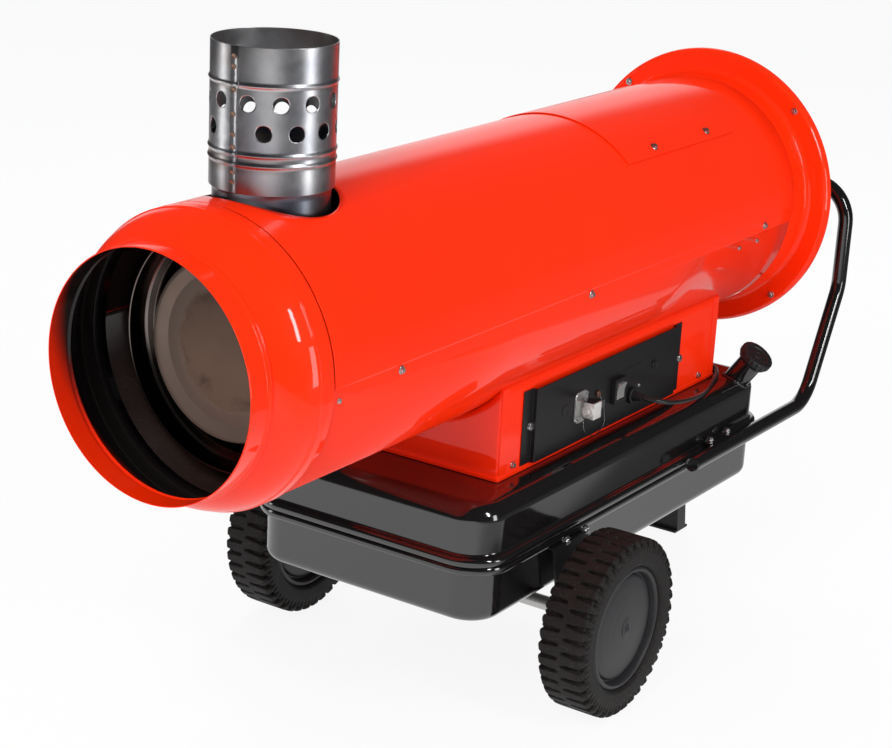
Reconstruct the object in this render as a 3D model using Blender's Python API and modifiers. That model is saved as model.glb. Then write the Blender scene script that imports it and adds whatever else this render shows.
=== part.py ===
"""Indirect fired space heater on two wheels, modelled piece by piece.

Metres, +Z up. The barrel's axis runs along Y with the warm-air outlet facing -Y,
the control panel faces +X, and the origin lies on the floor under the middle of
the heater. Places along the barrel are measured from the outlet's rim.
"""
import bpy
import bmesh
from math import cos, pi, radians, sin, sqrt
from mathutils import Matrix, Vector

# Fits shared by all pieces
CLEARANCE = 0.0003
SHEET = 0.0015
OVERRUN = 0.02
LARGE_STEPS = 28
MIDDLE_STEPS = 20
WHEEL_STEPS = 24
FACET = radians(4.0)
SMALL_STEPS = 16
PIN_STEPS = 12
HEXAGON = 6

# Driving sizes of the barrel
OUTLET_DIAMETER = 0.300
BARREL_DIAMETER = 0.362
FLANGE_DIAMETER = 0.438
AXIS_HEIGHT = 0.566
SEAM_REACH = 0.110
BARREL_REACH = 1.336
FLANGE_DEPTH = 0.046
SKIRT_OVERLAP = 0.016
LAP_ANGLE = radians(2.0)
TUCK_ANGLE = radians(4.0)

# Driving sizes of the flue
FLUE_DIAMETER = 0.148
FLUE_REACH = 0.218
FLUE_TOP = 0.922
FLUE_PIPE_LENGTH = 0.168
FLUE_WALL = 0.001

# Driving sizes of the tank, the wheels and the handle
TANK_WIDTH = 0.376
TANK_LENGTH = 0.790
TANK_REACH = 0.430
TANK_BOTTOM = 0.160
TANK_TOP = 0.324
TANK_CORNER = 0.050
TANK_TOP_EDGE = 0.024
TANK_BOTTOM_EDGE = 0.016
LIP_WIDTH = 0.010
LIP_HEIGHT = 0.0135
LIP_SHARES = (0.8, 0.7)
SEAM_HEIGHT = 0.2425
TYRE_DIAMETER = 0.250
TYRE_WIDTH = 0.072
TRACK = 0.529
WHEEL_REACH = 0.632
AXLE_DIAMETER = 0.020
HANDLE_DIAMETER = 0.023
HANDLE_REACH = 1.4205
HANDLE_TOP = 0.585
HANDLE_START = 0.957

# Driving sizes of the control box
BOX_WIDTH = 0.280
BOX_LENGTH = 0.609
BOX_REACH = 0.530

FRONT = -(HANDLE_REACH + HANDLE_DIAMETER / 2) / 2
BARREL_RADIUS = BARREL_DIAMETER / 2
LOWER_RADIUS = BARREL_RADIUS - SHEET - CLEARANCE
SKIRT_RADIUS = LOWER_RADIUS - SHEET - CLEARANCE
TANK_HALF = TANK_WIDTH / 2
WHEEL_RADIUS = TYRE_DIAMETER / 2
HANDLE_RADIUS = HANDLE_DIAMETER / 2

TURN_TO = {"X": (0, pi / 2, 0), "Y": (-pi / 2, 0, 0), "Z": (0, 0, 0)}


def at(reach):
    """World Y of a place measured along the barrel from the outlet's rim."""
    return FRONT + reach


def inside(radius, steps=LARGE_STEPS):
    """The largest radius that clears the flats of a faceted bore."""
    return radius * cos(pi / steps) - CLEARANCE


def start_model():
    """Empty the file and make the collections for the parts and the cutters."""
    for old in list(bpy.data.objects):
        bpy.data.objects.remove(old, do_unlink=True)
    for name in ("indirect_fired_heater", "cutters"):
        group = bpy.data.collections.new(name)
        bpy.context.scene.collection.children.link(group)


def paint(name, colour, roughness, metallic=0.0):
    """A Principled material of one colour."""
    material = bpy.data.materials.new(name)
    material.use_nodes = True
    shader = material.node_tree.nodes["Principled BSDF"]
    shader.inputs["Base Color"].default_value = (*colour, 1.0)
    shader.inputs["Roughness"].default_value = roughness
    shader.inputs["Metallic"].default_value = metallic
    return material


def add(name, data, material=None, place=(0, 0, 0), turn=(0, 0, 0), group="indirect_fired_heater"):
    """Put mesh or curve data in a named object."""
    item = bpy.data.objects.new(name, data)
    item.location = place
    item.rotation_euler = turn
    if material:
        data.materials.append(material)
    bpy.data.collections[group].objects.link(item)
    return item


def mesh_from(name, build):
    """A mesh made by a function that fills a bmesh, with faces pointing out."""
    shape = bmesh.new()
    build(shape)
    bmesh.ops.recalc_face_normals(shape, faces=shape.faces)
    mesh = bpy.data.meshes.new(name)
    shape.to_mesh(mesh)
    shape.free()
    return mesh


def smooth(item, angle=radians(35)):
    """Shade a round piece smooth with its corners kept."""
    item.data.shade_smooth()
    item.data.set_sharp_from_angle(angle=angle)
    return item


def bevel(item, width, segments=2):
    """Round a piece's edges."""
    rounding = item.modifiers.new("rounding", "BEVEL")
    rounding.width = width
    rounding.segments = segments
    rounding.limit_method = "ANGLE"
    return item


def as_cutter(item):
    """Hide a shape that only cuts or joins another."""
    bpy.data.collections["cutters"].objects.link(item)
    bpy.data.collections["indirect_fired_heater"].objects.unlink(item)
    item.hide_render = True
    item.display_type = "WIRE"
    return item


def cut(item, *cutters):
    """Subtract shapes from a piece."""
    for cutter in cutters:
        step = item.modifiers.new("cut", "BOOLEAN")
        step.operation = "DIFFERENCE"
        step.object = cutter if cutter.hide_render else as_cutter(cutter)
    return item


def join(item, *others):
    """Unite other shapes with a piece."""
    for other in others:
        step = item.modifiers.new("join", "BOOLEAN")
        step.operation = "UNION"
        step.object = other if other.hide_render else as_cutter(other)
    return item


def block(name, low, high, material=None, rounding=0.0):
    """A box between two corners."""
    middle = (Vector(low) + Vector(high)) / 2
    size = Vector(high) - Vector(low)
    stretch = Matrix.Diagonal((*size, 1.0))

    def build(shape):
        bmesh.ops.create_cube(shape, size=1.0, matrix=stretch)

    item = add(name, mesh_from(name, build), material, middle)
    return bevel(item, rounding) if rounding else item


def drum(name, radius, length, centre, axis="Y", material=None, steps=SMALL_STEPS, far_radius=None,
         turn=None):
    """A cylinder or cone centred on a point, lying along an axis."""
    def build(shape):
        bmesh.ops.create_cone(shape, cap_ends=True, segments=steps, radius1=radius,
                              radius2=radius if far_radius is None else far_radius, depth=length)

    return smooth(add(name, mesh_from(name, build), material, centre, turn or TURN_TO[axis]))


def turned(name, profile, place, axis="Y", material=None, steps=LARGE_STEPS, ring=True, turn=None):
    """A profile of (radius, distance along the axis) points turned about an axis.

    A ring's profile closes on itself. Any other starts and ends on the axis.
    The points are put in the order that faces the surface outwards.
    """
    area = sum(a[0] * b[1] - b[0] * a[1] for a, b in zip(profile, profile[1:] + profile[:1]))
    points = profile if area < 0 else profile[::-1]
    edges = [(i, i + 1) for i in range(len(points) - 1)]
    if ring:
        edges.append((len(points) - 1, 0))
    mesh = bpy.data.meshes.new(name)
    mesh.from_pydata([(r, 0, h) for r, h in points], edges, [])
    item = add(name, mesh, material, place, turn or TURN_TO[axis])
    screw = item.modifiers.new("turning", "SCREW")
    screw.steps = screw.render_steps = steps
    screw.use_merge_vertices = True
    screw.merge_threshold = CLEARANCE / 10
    return item


def turned_sheet(name, profile, place, axis="Y", material=None, steps=LARGE_STEPS, wall=SHEET, turn=None):
    """A pressed or spun sheet: the outer line of its section, turned and given a wall inwards.

    The line runs from its far end to its near end, so that its outer side faces out.
    """
    mesh = bpy.data.meshes.new(name)
    mesh.from_pydata([(r, 0, h) for r, h in profile], [(i, i + 1) for i in range(len(profile) - 1)], [])
    item = add(name, mesh, material, place, turn or TURN_TO[axis])
    screw = item.modifiers.new("turning", "SCREW")
    screw.steps = screw.render_steps = steps
    screw.use_merge_vertices = True
    screw.merge_threshold = CLEARANCE / 10
    thicken(item, wall)
    return item


def thicken(item, wall):
    """Give an open surface a wall on its inner side."""
    shell = item.modifiers.new("wall", "SOLIDIFY")
    shell.thickness = wall
    shell.offset = -1.0
    shell.use_even_offset = True
    return item


def curved_sheet(name, radius, reach, length, from_angle, to_angle, material, wall=SHEET):
    """A sheet rolled about the barrel's axis. Angles run from +X up towards +Z."""
    sweep = to_angle - from_angle
    steps = round(sweep / FACET)
    mesh = bpy.data.meshes.new(name)
    start = Vector((radius * cos(to_angle), -radius * sin(to_angle), 0))
    mesh.from_pydata([start + Vector((0, 0, length)), start], [(0, 1)], [])
    item = add(name, mesh, material, (0, at(reach), AXIS_HEIGHT), TURN_TO["Y"])
    screw = item.modifiers.new("rolling", "SCREW")
    screw.angle = sweep
    screw.steps = screw.render_steps = steps
    return thicken(item, wall)


def loft(name, rings, material, caps=(True, True), place=(0, 0, 0)):
    """Skin a row of rings that have as many points each, with the ends closed or open."""
    def build(shape):
        rows = [[shape.verts.new(point) for point in ring] for ring in rings]
        count = len(rows[0])
        for lower, upper in zip(rows, rows[1:]):
            for i in range(count):
                j = (i + 1) % count
                shape.faces.new((lower[i], lower[j], upper[j], upper[i]))
        if caps[0]:
            shape.faces.new(rows[0][::-1])
        if caps[1]:
            shape.faces.new(rows[-1])

    return add(name, mesh_from(name, build), material, place)


def as_mesh(item):
    """Turn a curve object into a welded mesh object of the same name and place."""
    bpy.context.view_layer.update()
    shown = item.evaluated_get(bpy.context.evaluated_depsgraph_get())
    mesh = bpy.data.meshes.new_from_object(shown)
    shape = bmesh.new()
    shape.from_mesh(mesh)
    bmesh.ops.remove_doubles(shape, verts=shape.verts, dist=CLEARANCE / 10)
    bmesh.ops.recalc_face_normals(shape, faces=shape.faces)
    shape.to_mesh(mesh)
    shape.free()
    name, place = item.name, item.matrix_world.copy()
    finish = item.data.materials[0] if item.data.materials else None
    bpy.data.objects.remove(item, do_unlink=True)
    mesh.materials.clear()
    solid = add(name, mesh, finish)
    solid.matrix_world = place
    return solid


def tube(name, points, radius, material, sides=2, closed=False):
    """A round bar or pipe along a row of points."""
    curve = bpy.data.curves.new(name, "CURVE")
    curve.dimensions = "3D"
    curve.bevel_depth = radius
    curve.bevel_resolution = sides
    curve.use_fill_caps = not closed
    line = curve.splines.new("POLY")
    line.points.add(len(points) - 1)
    line.use_cyclic_u = closed
    for spot, point in zip(line.points, points):
        spot.co = (*point, 1.0)
    return as_mesh(add(name, curve, material))


def flat(name, outline, thickness, place, turn, material):
    """A flat sheet or bar cut to an outline, centred on its own plane."""
    curve = bpy.data.curves.new(name, "CURVE")
    curve.dimensions = "2D"
    curve.fill_mode = "BOTH"
    curve.extrude = thickness / 2
    line = curve.splines.new("POLY")
    line.points.add(len(outline) - 1)
    line.use_cyclic_u = True
    for spot, point in zip(line.points, outline):
        spot.co = (*point, 0.0, 1.0)
    return as_mesh(add(name, curve, material, place, turn))


def rounded(half_width, half_length, corner, steps=3):
    """The outline of a rectangle with round corners, counter-clockwise about the middle."""
    outline = []
    for index, (x, y) in enumerate(((1, 1), (-1, 1), (-1, -1), (1, -1))):
        for step in range(steps + 1):
            angle = (index + step / steps) * pi / 2
            outline.append((x * (half_width - corner) + corner * cos(angle),
                            y * (half_length - corner) + corner * sin(angle)))
    return outline


def bent(corners, bend_radius, steps=4):
    """Points along straight runs whose corners are bent to one radius."""
    corners = [Vector(corner) for corner in corners]
    points = [corners[0]]
    for before, corner, after in zip(corners, corners[1:], corners[2:]):
        into = (corner - before).normalized()
        out = (after - corner).normalized()
        turn = into.angle(out)
        lead = bend_radius * sin(turn / 2) / cos(turn / 2)
        normal = (out - into * into.dot(out)).normalized()
        centre = corner - into * lead + normal * bend_radius
        for step in range(steps + 1):
            angle = turn * step / steps
            points.append(centre - normal * bend_radius * cos(angle) + into * bend_radius * sin(angle))
    points.append(corners[-1])
    return points


# Finishes
start_model()
RED = paint("red_enamel", (0.90, 0.045, 0.01), 0.22)
BLACK = paint("black_enamel", (0.012, 0.012, 0.013), 0.18)
PANEL_BLACK = paint("panel_black", (0.022, 0.022, 0.024), 0.5)
STAINLESS = paint("stainless_flue", (0.45, 0.45, 0.47), 0.3, 1.0)
HEATED = paint("heat_tinted_steel", (0.20, 0.16, 0.13), 0.5, 0.7)
ZINC = paint("zinc_plated_steel", (0.62, 0.62, 0.64), 0.35, 1.0)
RUBBER = paint("tyre_rubber", (0.035, 0.032, 0.030), 0.85)
HUB = paint("hub_plastic", (0.05, 0.05, 0.053), 0.55)
PLASTIC = paint("black_plastic", (0.015, 0.015, 0.016), 0.45)
GREY = paint("grey_plastic", (0.20, 0.20, 0.21), 0.5)
CAST = paint("cast_aluminium", (0.55, 0.55, 0.56), 0.5, 0.9)
MOTOR = paint("motor_grey", (0.16, 0.17, 0.18), 0.45, 0.3)
CABLE = paint("cable_rubber", (0.012, 0.012, 0.012), 0.5)


# Casing: the outlet cone, two rolled half shells, the access cover and the inlet flange
COLLAR_REACH = 0.037
BEAD = 0.0025
CONE_SHARES = ((0.30, 0.30), (0.58, 0.48), (0.80, 0.68), (0.94, 0.86), (0.985, 1.0))
COVER_REACH = 0.846
COVER_LENGTH = 0.314
COVER_EDGE = 12 * FACET - LAP_ANGLE
COVER_MARGIN = 0.016
FLUE_HOLE_DIAMETER = 0.160
FACE_SHARE = 0.66
FLARE_SHARES = ((0.0, 0.40), (0.06, 0.56), (0.20, FACE_SHARE), (0.88, FACE_SHARE), (1.0, 0.80), (0.97, 1.0))


def casing():
    rim = OUTLET_DIAMETER / 2
    # The collar's bead, then the shoulder that swells out to the barrel, two fine beads and the skirt
    shoulder_start = COLLAR_REACH
    shoulder_run = SEAM_REACH - shoulder_start
    swell = BARREL_RADIUS - rim
    line = [(rim, 0), (rim, COLLAR_REACH - 4 * BEAD), (rim + BEAD, COLLAR_REACH - 2.5 * BEAD),
            (rim, COLLAR_REACH - BEAD)]
    line += [(rim + swell * r, shoulder_start + shoulder_run * (y - 0.2)) for r, y in CONE_SHARES]
    line += [(BARREL_RADIUS, SEAM_REACH - CLEARANCE), (SKIRT_RADIUS, SEAM_REACH),
             (SKIRT_RADIUS, SEAM_REACH + SKIRT_OVERLAP)]
    turned_sheet("outlet_cone", line[::-1], (0, at(0), AXIS_HEIGHT), "Y", RED)

    start = SEAM_REACH + CLEARANCE
    length = BARREL_REACH - FLANGE_DEPTH - start
    upper = curved_sheet("upper_casing", BARREL_RADIUS, start, length, -LAP_ANGLE, pi + LAP_ANGLE, RED)
    flue_hole = drum("flue_hole", FLUE_HOLE_DIAMETER / 2, BARREL_DIAMETER, (0, at(FLUE_REACH), AXIS_HEIGHT
                     + BARREL_DIAMETER / 2), "Z", steps=MIDDLE_STEPS)
    edge = COVER_EDGE + COVER_MARGIN / BARREL_RADIUS
    hatch = block("hatch_hole", (-BARREL_RADIUS * cos(edge), at(COVER_REACH + COVER_MARGIN), AXIS_HEIGHT
                  + BARREL_RADIUS / 2), (BARREL_RADIUS * cos(edge), at(COVER_REACH + COVER_LENGTH
                  - COVER_MARGIN), AXIS_HEIGHT + BARREL_RADIUS + OVERRUN))
    cut(upper, flue_hole, hatch)
    curved_sheet("lower_casing", LOWER_RADIUS, start, length, -pi - TUCK_ANGLE, TUCK_ANGLE, RED)
    curved_sheet("access_cover", BARREL_RADIUS + CLEARANCE + SHEET, COVER_REACH, COVER_LENGTH, COVER_EDGE,
                 pi - COVER_EDGE, RED)

    flange_start = BARREL_REACH - FLANGE_DEPTH
    flare = FLANGE_DIAMETER / 2 - BARREL_RADIUS
    line = [(SKIRT_RADIUS, flange_start - SKIRT_OVERLAP), (SKIRT_RADIUS, flange_start + CLEARANCE),
            (BARREL_RADIUS, flange_start + 2 * CLEARANCE)]
    line += [(BARREL_RADIUS + flare * r, flange_start + FLANGE_DEPTH * y) for r, y in FLARE_SHARES]
    turned_sheet("inlet_flange", line[::-1], (0, at(0), AXIS_HEIGHT), "Y", RED)


# Inlet guard: welded wire rings on four spokes, screwed inside the flange
GUARD_DIAMETER = 0.404
GUARD_WIRE = 0.004
GUARD_SPOKE = 0.005
GUARD_RING_SHARES = (0.28, 0.635, 0.985)


def inlet_guard():
    # The spokes rest on the flange's flat face, and the rings are welded on them
    radius = GUARD_DIAMETER / 2
    reach = BARREL_REACH - FLANGE_DEPTH * (1 - FACE_SHARE) + SHEET + CLEARANCE + GUARD_SPOKE / 2
    place = Vector((0, at(reach), AXIS_HEIGHT))
    half = radius * Vector((cos(pi / 4), 0, sin(pi / 4)))
    other = radius * Vector((-cos(pi / 4), 0, sin(pi / 4)))
    guard = tube("inlet_guard", [place - half, place + half], GUARD_SPOKE / 2, ZINC, 1)
    join(guard, tube("guard_spoke", [place - other, place + other], GUARD_SPOKE / 2, ZINC, 1))
    for index, share in enumerate(GUARD_RING_SHARES):
        ring = radius * share
        wire = GUARD_WIRE / 2
        section = [(ring - wire, -wire), (ring + wire, -wire), (ring + wire, wire), (ring - wire, wire)]
        join(guard, turned("guard_ring_%d" % index, section, place, "Y", ZINC, steps=MIDDLE_STEPS))


# Flue: a stub from the heat exchanger and a perforated pipe that sleeves over it
STUB_DIAMETER = 0.140
PIPE_BEAD = 0.003
PIPE_BEAD_SHARES = (0.20, 0.27, 0.74)
PIPE_HOLE_DIAMETER = 0.019
PIPE_HOLE_SHARES = (0.425, 0.62)
PIPE_HOLES_AROUND = 12
STUB_SLEEVE = 0.060


def flue():
    radius = FLUE_DIAMETER / 2
    foot = FLUE_TOP - FLUE_PIPE_LENGTH
    line = [(radius, 0)]
    for share in PIPE_BEAD_SHARES:
        height = FLUE_PIPE_LENGTH * share
        line += [(radius, height - PIPE_BEAD), (radius + PIPE_BEAD / 2, height), (radius, height + PIPE_BEAD)]
    line.append((radius, FLUE_PIPE_LENGTH))
    pipe = turned_sheet("flue_pipe", line[::-1], (0, at(FLUE_REACH), foot), "Z", STAINLESS, wall=FLUE_WALL,
                        steps=MIDDLE_STEPS)
    for row, share in enumerate(PIPE_HOLE_SHARES):
        for index in range(PIPE_HOLES_AROUND // 2):
            angle = (index + row / 2) * 2 * pi / PIPE_HOLES_AROUND
            length = FLUE_DIAMETER + OVERRUN
            reach = FLUE_REACH
            if row == index == 0:
                # The pipe's welded seam leaves no room for the lower hole that faces the outlet
                length /= 2
                reach += length / 2
            cutter = drum("pipe_hole", PIPE_HOLE_DIAMETER / 2, length,
                          (0, at(reach), foot + FLUE_PIPE_LENGTH * share), steps=HEXAGON,
                          turn=(pi / 2, 0, angle))
            cut(pipe, cutter)

    # The stub stands on the heat exchanger's saddle-shaped opening
    stub_foot = AXIS_HEIGHT + EXCHANGER_DIAMETER / 4
    below = foot - stub_foot
    top = below + STUB_SLEEVE
    outer = STUB_DIAMETER / 2
    fit = radius - FLUE_WALL - CLEARANCE
    section = [(outer - FLUE_WALL, 0), (outer, 0), (outer, below), (fit, below + PIPE_BEAD), (fit, top),
               (fit - FLUE_WALL, top), (fit - FLUE_WALL, below + PIPE_BEAD), (outer - FLUE_WALL, below)]
    stub = turned("flue_stub", section, (0, at(FLUE_REACH), stub_foot), "Z", HEATED, steps=MIDDLE_STEPS)
    cut(stub, drum("stub_saddle", EXCHANGER_DIAMETER / 2 + CLEARANCE, 2 * FLUE_DIAMETER,
                   (0, at(FLUE_REACH), AXIS_HEIGHT), "Y", steps=LARGE_STEPS))


# Inside: the combustion chamber, the ring-shaped heat exchanger and what holds them
CHAMBER_DIAMETER = 0.226
CHAMBER_REACH = 0.138
CHAMBER_LENGTH = 0.662
CHAMBER_WALL = 0.002
CHAMBER_DISH = 0.010
BURNER_HOLE_DIAMETER = 0.100
EXCHANGER_DIAMETER = 0.312
EXCHANGER_BORE = 0.264
EXCHANGER_REACH = 0.165
EXCHANGER_LENGTH = 0.600
CROSSOVER_DIAMETER = 0.060
CROSSOVER_SHARE = 0.92
SADDLE_LENGTH = 0.020
SADDLE_SPREAD = radians(16)
SADDLE_SHARES = (0.12, 0.80)


def heat_exchanger():
    radius = CHAMBER_DIAMETER / 2
    hole = BURNER_HOLE_DIAMETER / 2
    wall = CHAMBER_WALL
    end = CHAMBER_LENGTH
    section = [(0, CHAMBER_DISH), (radius - 2 * CHAMBER_DISH, CHAMBER_DISH / 2),
               (radius - CHAMBER_DISH / 2, 0),
               (radius, CHAMBER_DISH), (radius, end), (hole, end), (hole, end - wall),
               (radius - wall, end - wall), (radius - wall, CHAMBER_DISH + wall),
               (radius - CHAMBER_DISH, wall * 2), (radius - 2 * CHAMBER_DISH, CHAMBER_DISH / 2 + wall),
               (0, CHAMBER_DISH + wall)]
    chamber = turned("combustion_chamber", section, (0, at(CHAMBER_REACH), AXIS_HEIGHT), "Y", HEATED,
                     ring=False)

    outer = EXCHANGER_DIAMETER / 2
    inner = EXCHANGER_BORE / 2
    end = EXCHANGER_LENGTH
    place = (0, at(EXCHANGER_REACH), AXIS_HEIGHT)
    drum_section = [(inner, 0), (outer, 0), (outer, end), (inner, end)]
    hollow_section = [(inner + wall, wall), (outer - wall, wall), (outer - wall, end - wall),
                      (inner + wall, end - wall)]
    exchanger = turned("heat_exchanger", drum_section, place, "Y", HEATED)
    cut(exchanger, turned("exchanger_hollow", hollow_section, place, "Y"))
    cut(exchanger, drum("exchanger_port", STUB_DIAMETER / 2 - 4 * FLUE_WALL,
                        EXCHANGER_DIAMETER - EXCHANGER_BORE,
                        (0, at(FLUE_REACH), AXIS_HEIGHT + outer), "Z", steps=MIDDLE_STEPS))

    # The crossover lets the burnt gas pass from the chamber into the exchanger's far end
    reach = EXCHANGER_REACH + EXCHANGER_LENGTH * CROSSOVER_SHARE
    middle = AXIS_HEIGHT - (radius + inner) / 2
    port = CROSSOVER_DIAMETER / 2
    section = [(port - wall, -inner / 4), (port, -inner / 4), (port, inner / 4), (port - wall, inner / 4)]
    crossover = turned("crossover_duct", section, (0, at(reach), middle), "Z", HEATED, steps=SMALL_STEPS)
    cut(crossover, drum("crossover_top", radius + CLEARANCE, 2 * CROSSOVER_DIAMETER,
                        (0, at(reach), AXIS_HEIGHT), steps=LARGE_STEPS))
    bore = [(inner - CLEARANCE, -CROSSOVER_DIAMETER), (BARREL_RADIUS, -CROSSOVER_DIAMETER),
            (BARREL_RADIUS, CROSSOVER_DIAMETER), (inner - CLEARANCE, CROSSOVER_DIAMETER)]
    cut(crossover, turned("crossover_foot", bore, (0, at(reach), AXIS_HEIGHT), "Y"))
    gas_way = drum("gas_way", port - 2 * wall, inner, (0, at(reach), middle), "Z")
    cut(chamber, gas_way)
    cut(exchanger, gas_way)

    # Two saddles carry the exchanger on the casing. The chamber lies in the exchanger's bore
    # on a saddle in front and on the crossover behind.
    down = -pi / 2
    for index, share in enumerate(SADDLE_SHARES):
        reach = EXCHANGER_REACH + EXCHANGER_LENGTH * share
        seat = SKIRT_RADIUS
        curved_sheet("exchanger_saddle_%d" % (index + 1), seat, reach, SADDLE_LENGTH, down - SADDLE_SPREAD,
                     down + SADDLE_SPREAD, ZINC, wall=seat - outer - CLEARANCE)
    seat = inside(inner)
    curved_sheet("chamber_saddle", seat, EXCHANGER_REACH + EXCHANGER_LENGTH * SADDLE_SHARES[0], SADDLE_LENGTH,
                 down - SADDLE_SPREAD, down + SADDLE_SPREAD, ZINC, wall=seat - radius - CLEARANCE)


# Burner: blast tube, blower housing, pump, transformer, and one motor for blower, pump and fan
BLAST_DIAMETER = 0.096
BLAST_LENGTH = 0.090
BLOWER_DIAMETER = 0.170
BLOWER_LENGTH = 0.110
BLOWER_WALL = 0.003
BLOWER_WHEEL_DIAMETER = 0.130
BLOWER_WHEEL_LENGTH = 0.050
MOTOR_DIAMETER = 0.130
MOTOR_LENGTH = 0.150
MOTOR_WALL = 0.012
MOTOR_GAP = 0.012
SHAFT_DIAMETER = 0.014
SHAFT_START = 0.905
SHAFT_END = 1.262
FAN_DIAMETER = 0.336
FAN_HUB_DIAMETER = 0.080
FAN_HUB_LENGTH = 0.040
FAN_BLADES = 6
FAN_BLADE_CHORD = 0.070
FAN_BLADE_WALL = 0.002
FAN_PITCH = radians(32)
FAN_BLADE_SHARES = ((0.0, 0.55), (0.8, 1.0), (1.0, 0.8))
ARM_WIDTH = 0.030
ARM_WALL = 0.004
CLAMP_LENGTH = 0.030
CLAMP_WALL = 0.004
ARM_ANGLES = (-pi / 2, radians(-9), radians(189))


def burner():
    chamber_end = CHAMBER_REACH + CHAMBER_LENGTH
    blower_start = chamber_end + BLAST_LENGTH
    motor_start = blower_start + BLOWER_LENGTH + MOTOR_GAP
    motor_end = motor_start + MOTOR_LENGTH

    tube_radius = BLAST_DIAMETER / 2
    wall = BLOWER_WALL
    flange = tube_radius + 0.25 * BLAST_DIAMETER
    section = [(tube_radius - wall, -BLAST_LENGTH / 3), (tube_radius, -BLAST_LENGTH / 3),
               (tube_radius, CLEARANCE),
               (flange, CLEARANCE), (flange, wall), (tube_radius, wall),
               (tube_radius, BLAST_LENGTH - CLEARANCE), (tube_radius - wall, BLAST_LENGTH - CLEARANCE)]
    turned("blast_tube", section, (0, at(chamber_end), AXIS_HEIGHT), "Y", CAST, steps=SMALL_STEPS)

    radius = BLOWER_DIAMETER / 2
    end = BLOWER_LENGTH
    eye = SHAFT_DIAMETER * 2
    mouth = tube_radius - 2 * wall
    section = [(mouth, 0), (radius, 0), (radius, end), (eye, end), (eye, end - wall),
               (radius - wall, end - wall),
               (radius - wall, wall), (mouth, wall)]
    turned("blower_housing", section, (0, at(blower_start), AXIS_HEIGHT), "Y", CAST, steps=SMALL_STEPS)

    # The rotor: one shaft with the burner's blower wheel in front and the main fan behind
    shaft_radius = SHAFT_DIAMETER / 2
    drum("motor_shaft", shaft_radius, SHAFT_END - SHAFT_START,
         (0, at((SHAFT_START + SHAFT_END) / 2), AXIS_HEIGHT),
         material=ZINC)
    wheel = BLOWER_WHEEL_DIAMETER / 2
    bore = shaft_radius + CLEARANCE
    section = [(bore, 0), (wheel, 0), (wheel, BLOWER_WHEEL_LENGTH), (wheel - 2 * wall, BLOWER_WHEEL_LENGTH),
               (wheel - 2 * wall, 2 * wall), (2 * bore, 2 * wall), (2 * bore, BLOWER_WHEEL_LENGTH / 2),
               (bore, BLOWER_WHEEL_LENGTH / 2)]
    turned("blower_wheel", section, (0, at(blower_start + BLOWER_LENGTH / 4), AXIS_HEIGHT), "Y", CAST,
           steps=SMALL_STEPS)

    body = MOTOR_DIAMETER / 2
    bearing = 2 * shaft_radius
    section = [(bore, -MOTOR_GAP / 2), (bearing, -MOTOR_GAP / 2), (bearing, 0), (body - MOTOR_WALL, 0),
               (body, MOTOR_WALL), (body, MOTOR_LENGTH - MOTOR_WALL), (body - MOTOR_WALL, MOTOR_LENGTH),
               (bearing, MOTOR_LENGTH), (bearing, MOTOR_LENGTH + MOTOR_GAP / 2),
               (bore, MOTOR_LENGTH + MOTOR_GAP / 2)]
    turned("motor_body", section, (0, at(motor_start), AXIS_HEIGHT), "Y", MOTOR, steps=SMALL_STEPS)

    # A clamp ring round the motor with three arms to the casing
    clamp = body + CLEARANCE
    ring = [(clamp, -CLAMP_LENGTH / 2), (clamp + CLAMP_WALL, -CLAMP_LENGTH / 2),
            (clamp + CLAMP_WALL, CLAMP_LENGTH / 2),
            (clamp, CLAMP_LENGTH / 2)]
    place = (0, at(motor_end - MOTOR_WALL - CLAMP_LENGTH / 2), AXIS_HEIGHT)
    bracket = turned("motor_bracket", ring, place, "Y", ZINC, steps=SMALL_STEPS)
    reach_out = SKIRT_RADIUS
    for index, angle in enumerate(ARM_ANGLES):
        middle = (clamp + CLAMP_WALL / 2 + reach_out) / 2
        arm = block("motor_arm_%d" % index, (-(reach_out - clamp - CLAMP_WALL / 2) / 2, -ARM_WALL / 2,
                                             -ARM_WIDTH / 2),
                    ((reach_out - clamp - CLAMP_WALL / 2) / 2, ARM_WALL / 2, ARM_WIDTH / 2))
        arm.location = Vector(place) + middle * Vector((cos(angle), 0, sin(angle)))
        arm.rotation_euler = (0, -angle, 0)
        join(bracket, arm)
    rim = [(SKIRT_RADIUS, -ARM_WIDTH), (BARREL_RADIUS + OVERRUN, -ARM_WIDTH),
           (BARREL_RADIUS + OVERRUN, ARM_WIDTH),
           (SKIRT_RADIUS, ARM_WIDTH)]
    cut(bracket, turned("arm_trim", rim, place, "Y", steps=round(2 * pi / FACET)))

    # The burner stands on the casing's floor by a folded leg under the blower housing
    leg_place = blower_start + BLOWER_LENGTH / 2
    foot = curved_sheet("burner_leg", SKIRT_RADIUS, leg_place - ARM_WIDTH / 2, ARM_WIDTH,
                        -pi / 2 - SADDLE_SPREAD,
                        -pi / 2 + SADDLE_SPREAD, ZINC, wall=BLOWER_WALL)
    join(foot, block("burner_post", (-ARM_WIDTH / 2, at(leg_place) - ARM_WALL / 2, AXIS_HEIGHT - SKIRT_RADIUS
                     + BLOWER_WALL / 2), (ARM_WIDTH / 2, at(leg_place) + ARM_WALL / 2, AXIS_HEIGHT - radius)))
    cut(foot, drum("burner_seat", radius + CLEARANCE, BLOWER_LENGTH, (0, at(leg_place), AXIS_HEIGHT),
                   steps=SMALL_STEPS))

    fan()
    burner_fittings(blower_start)


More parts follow.
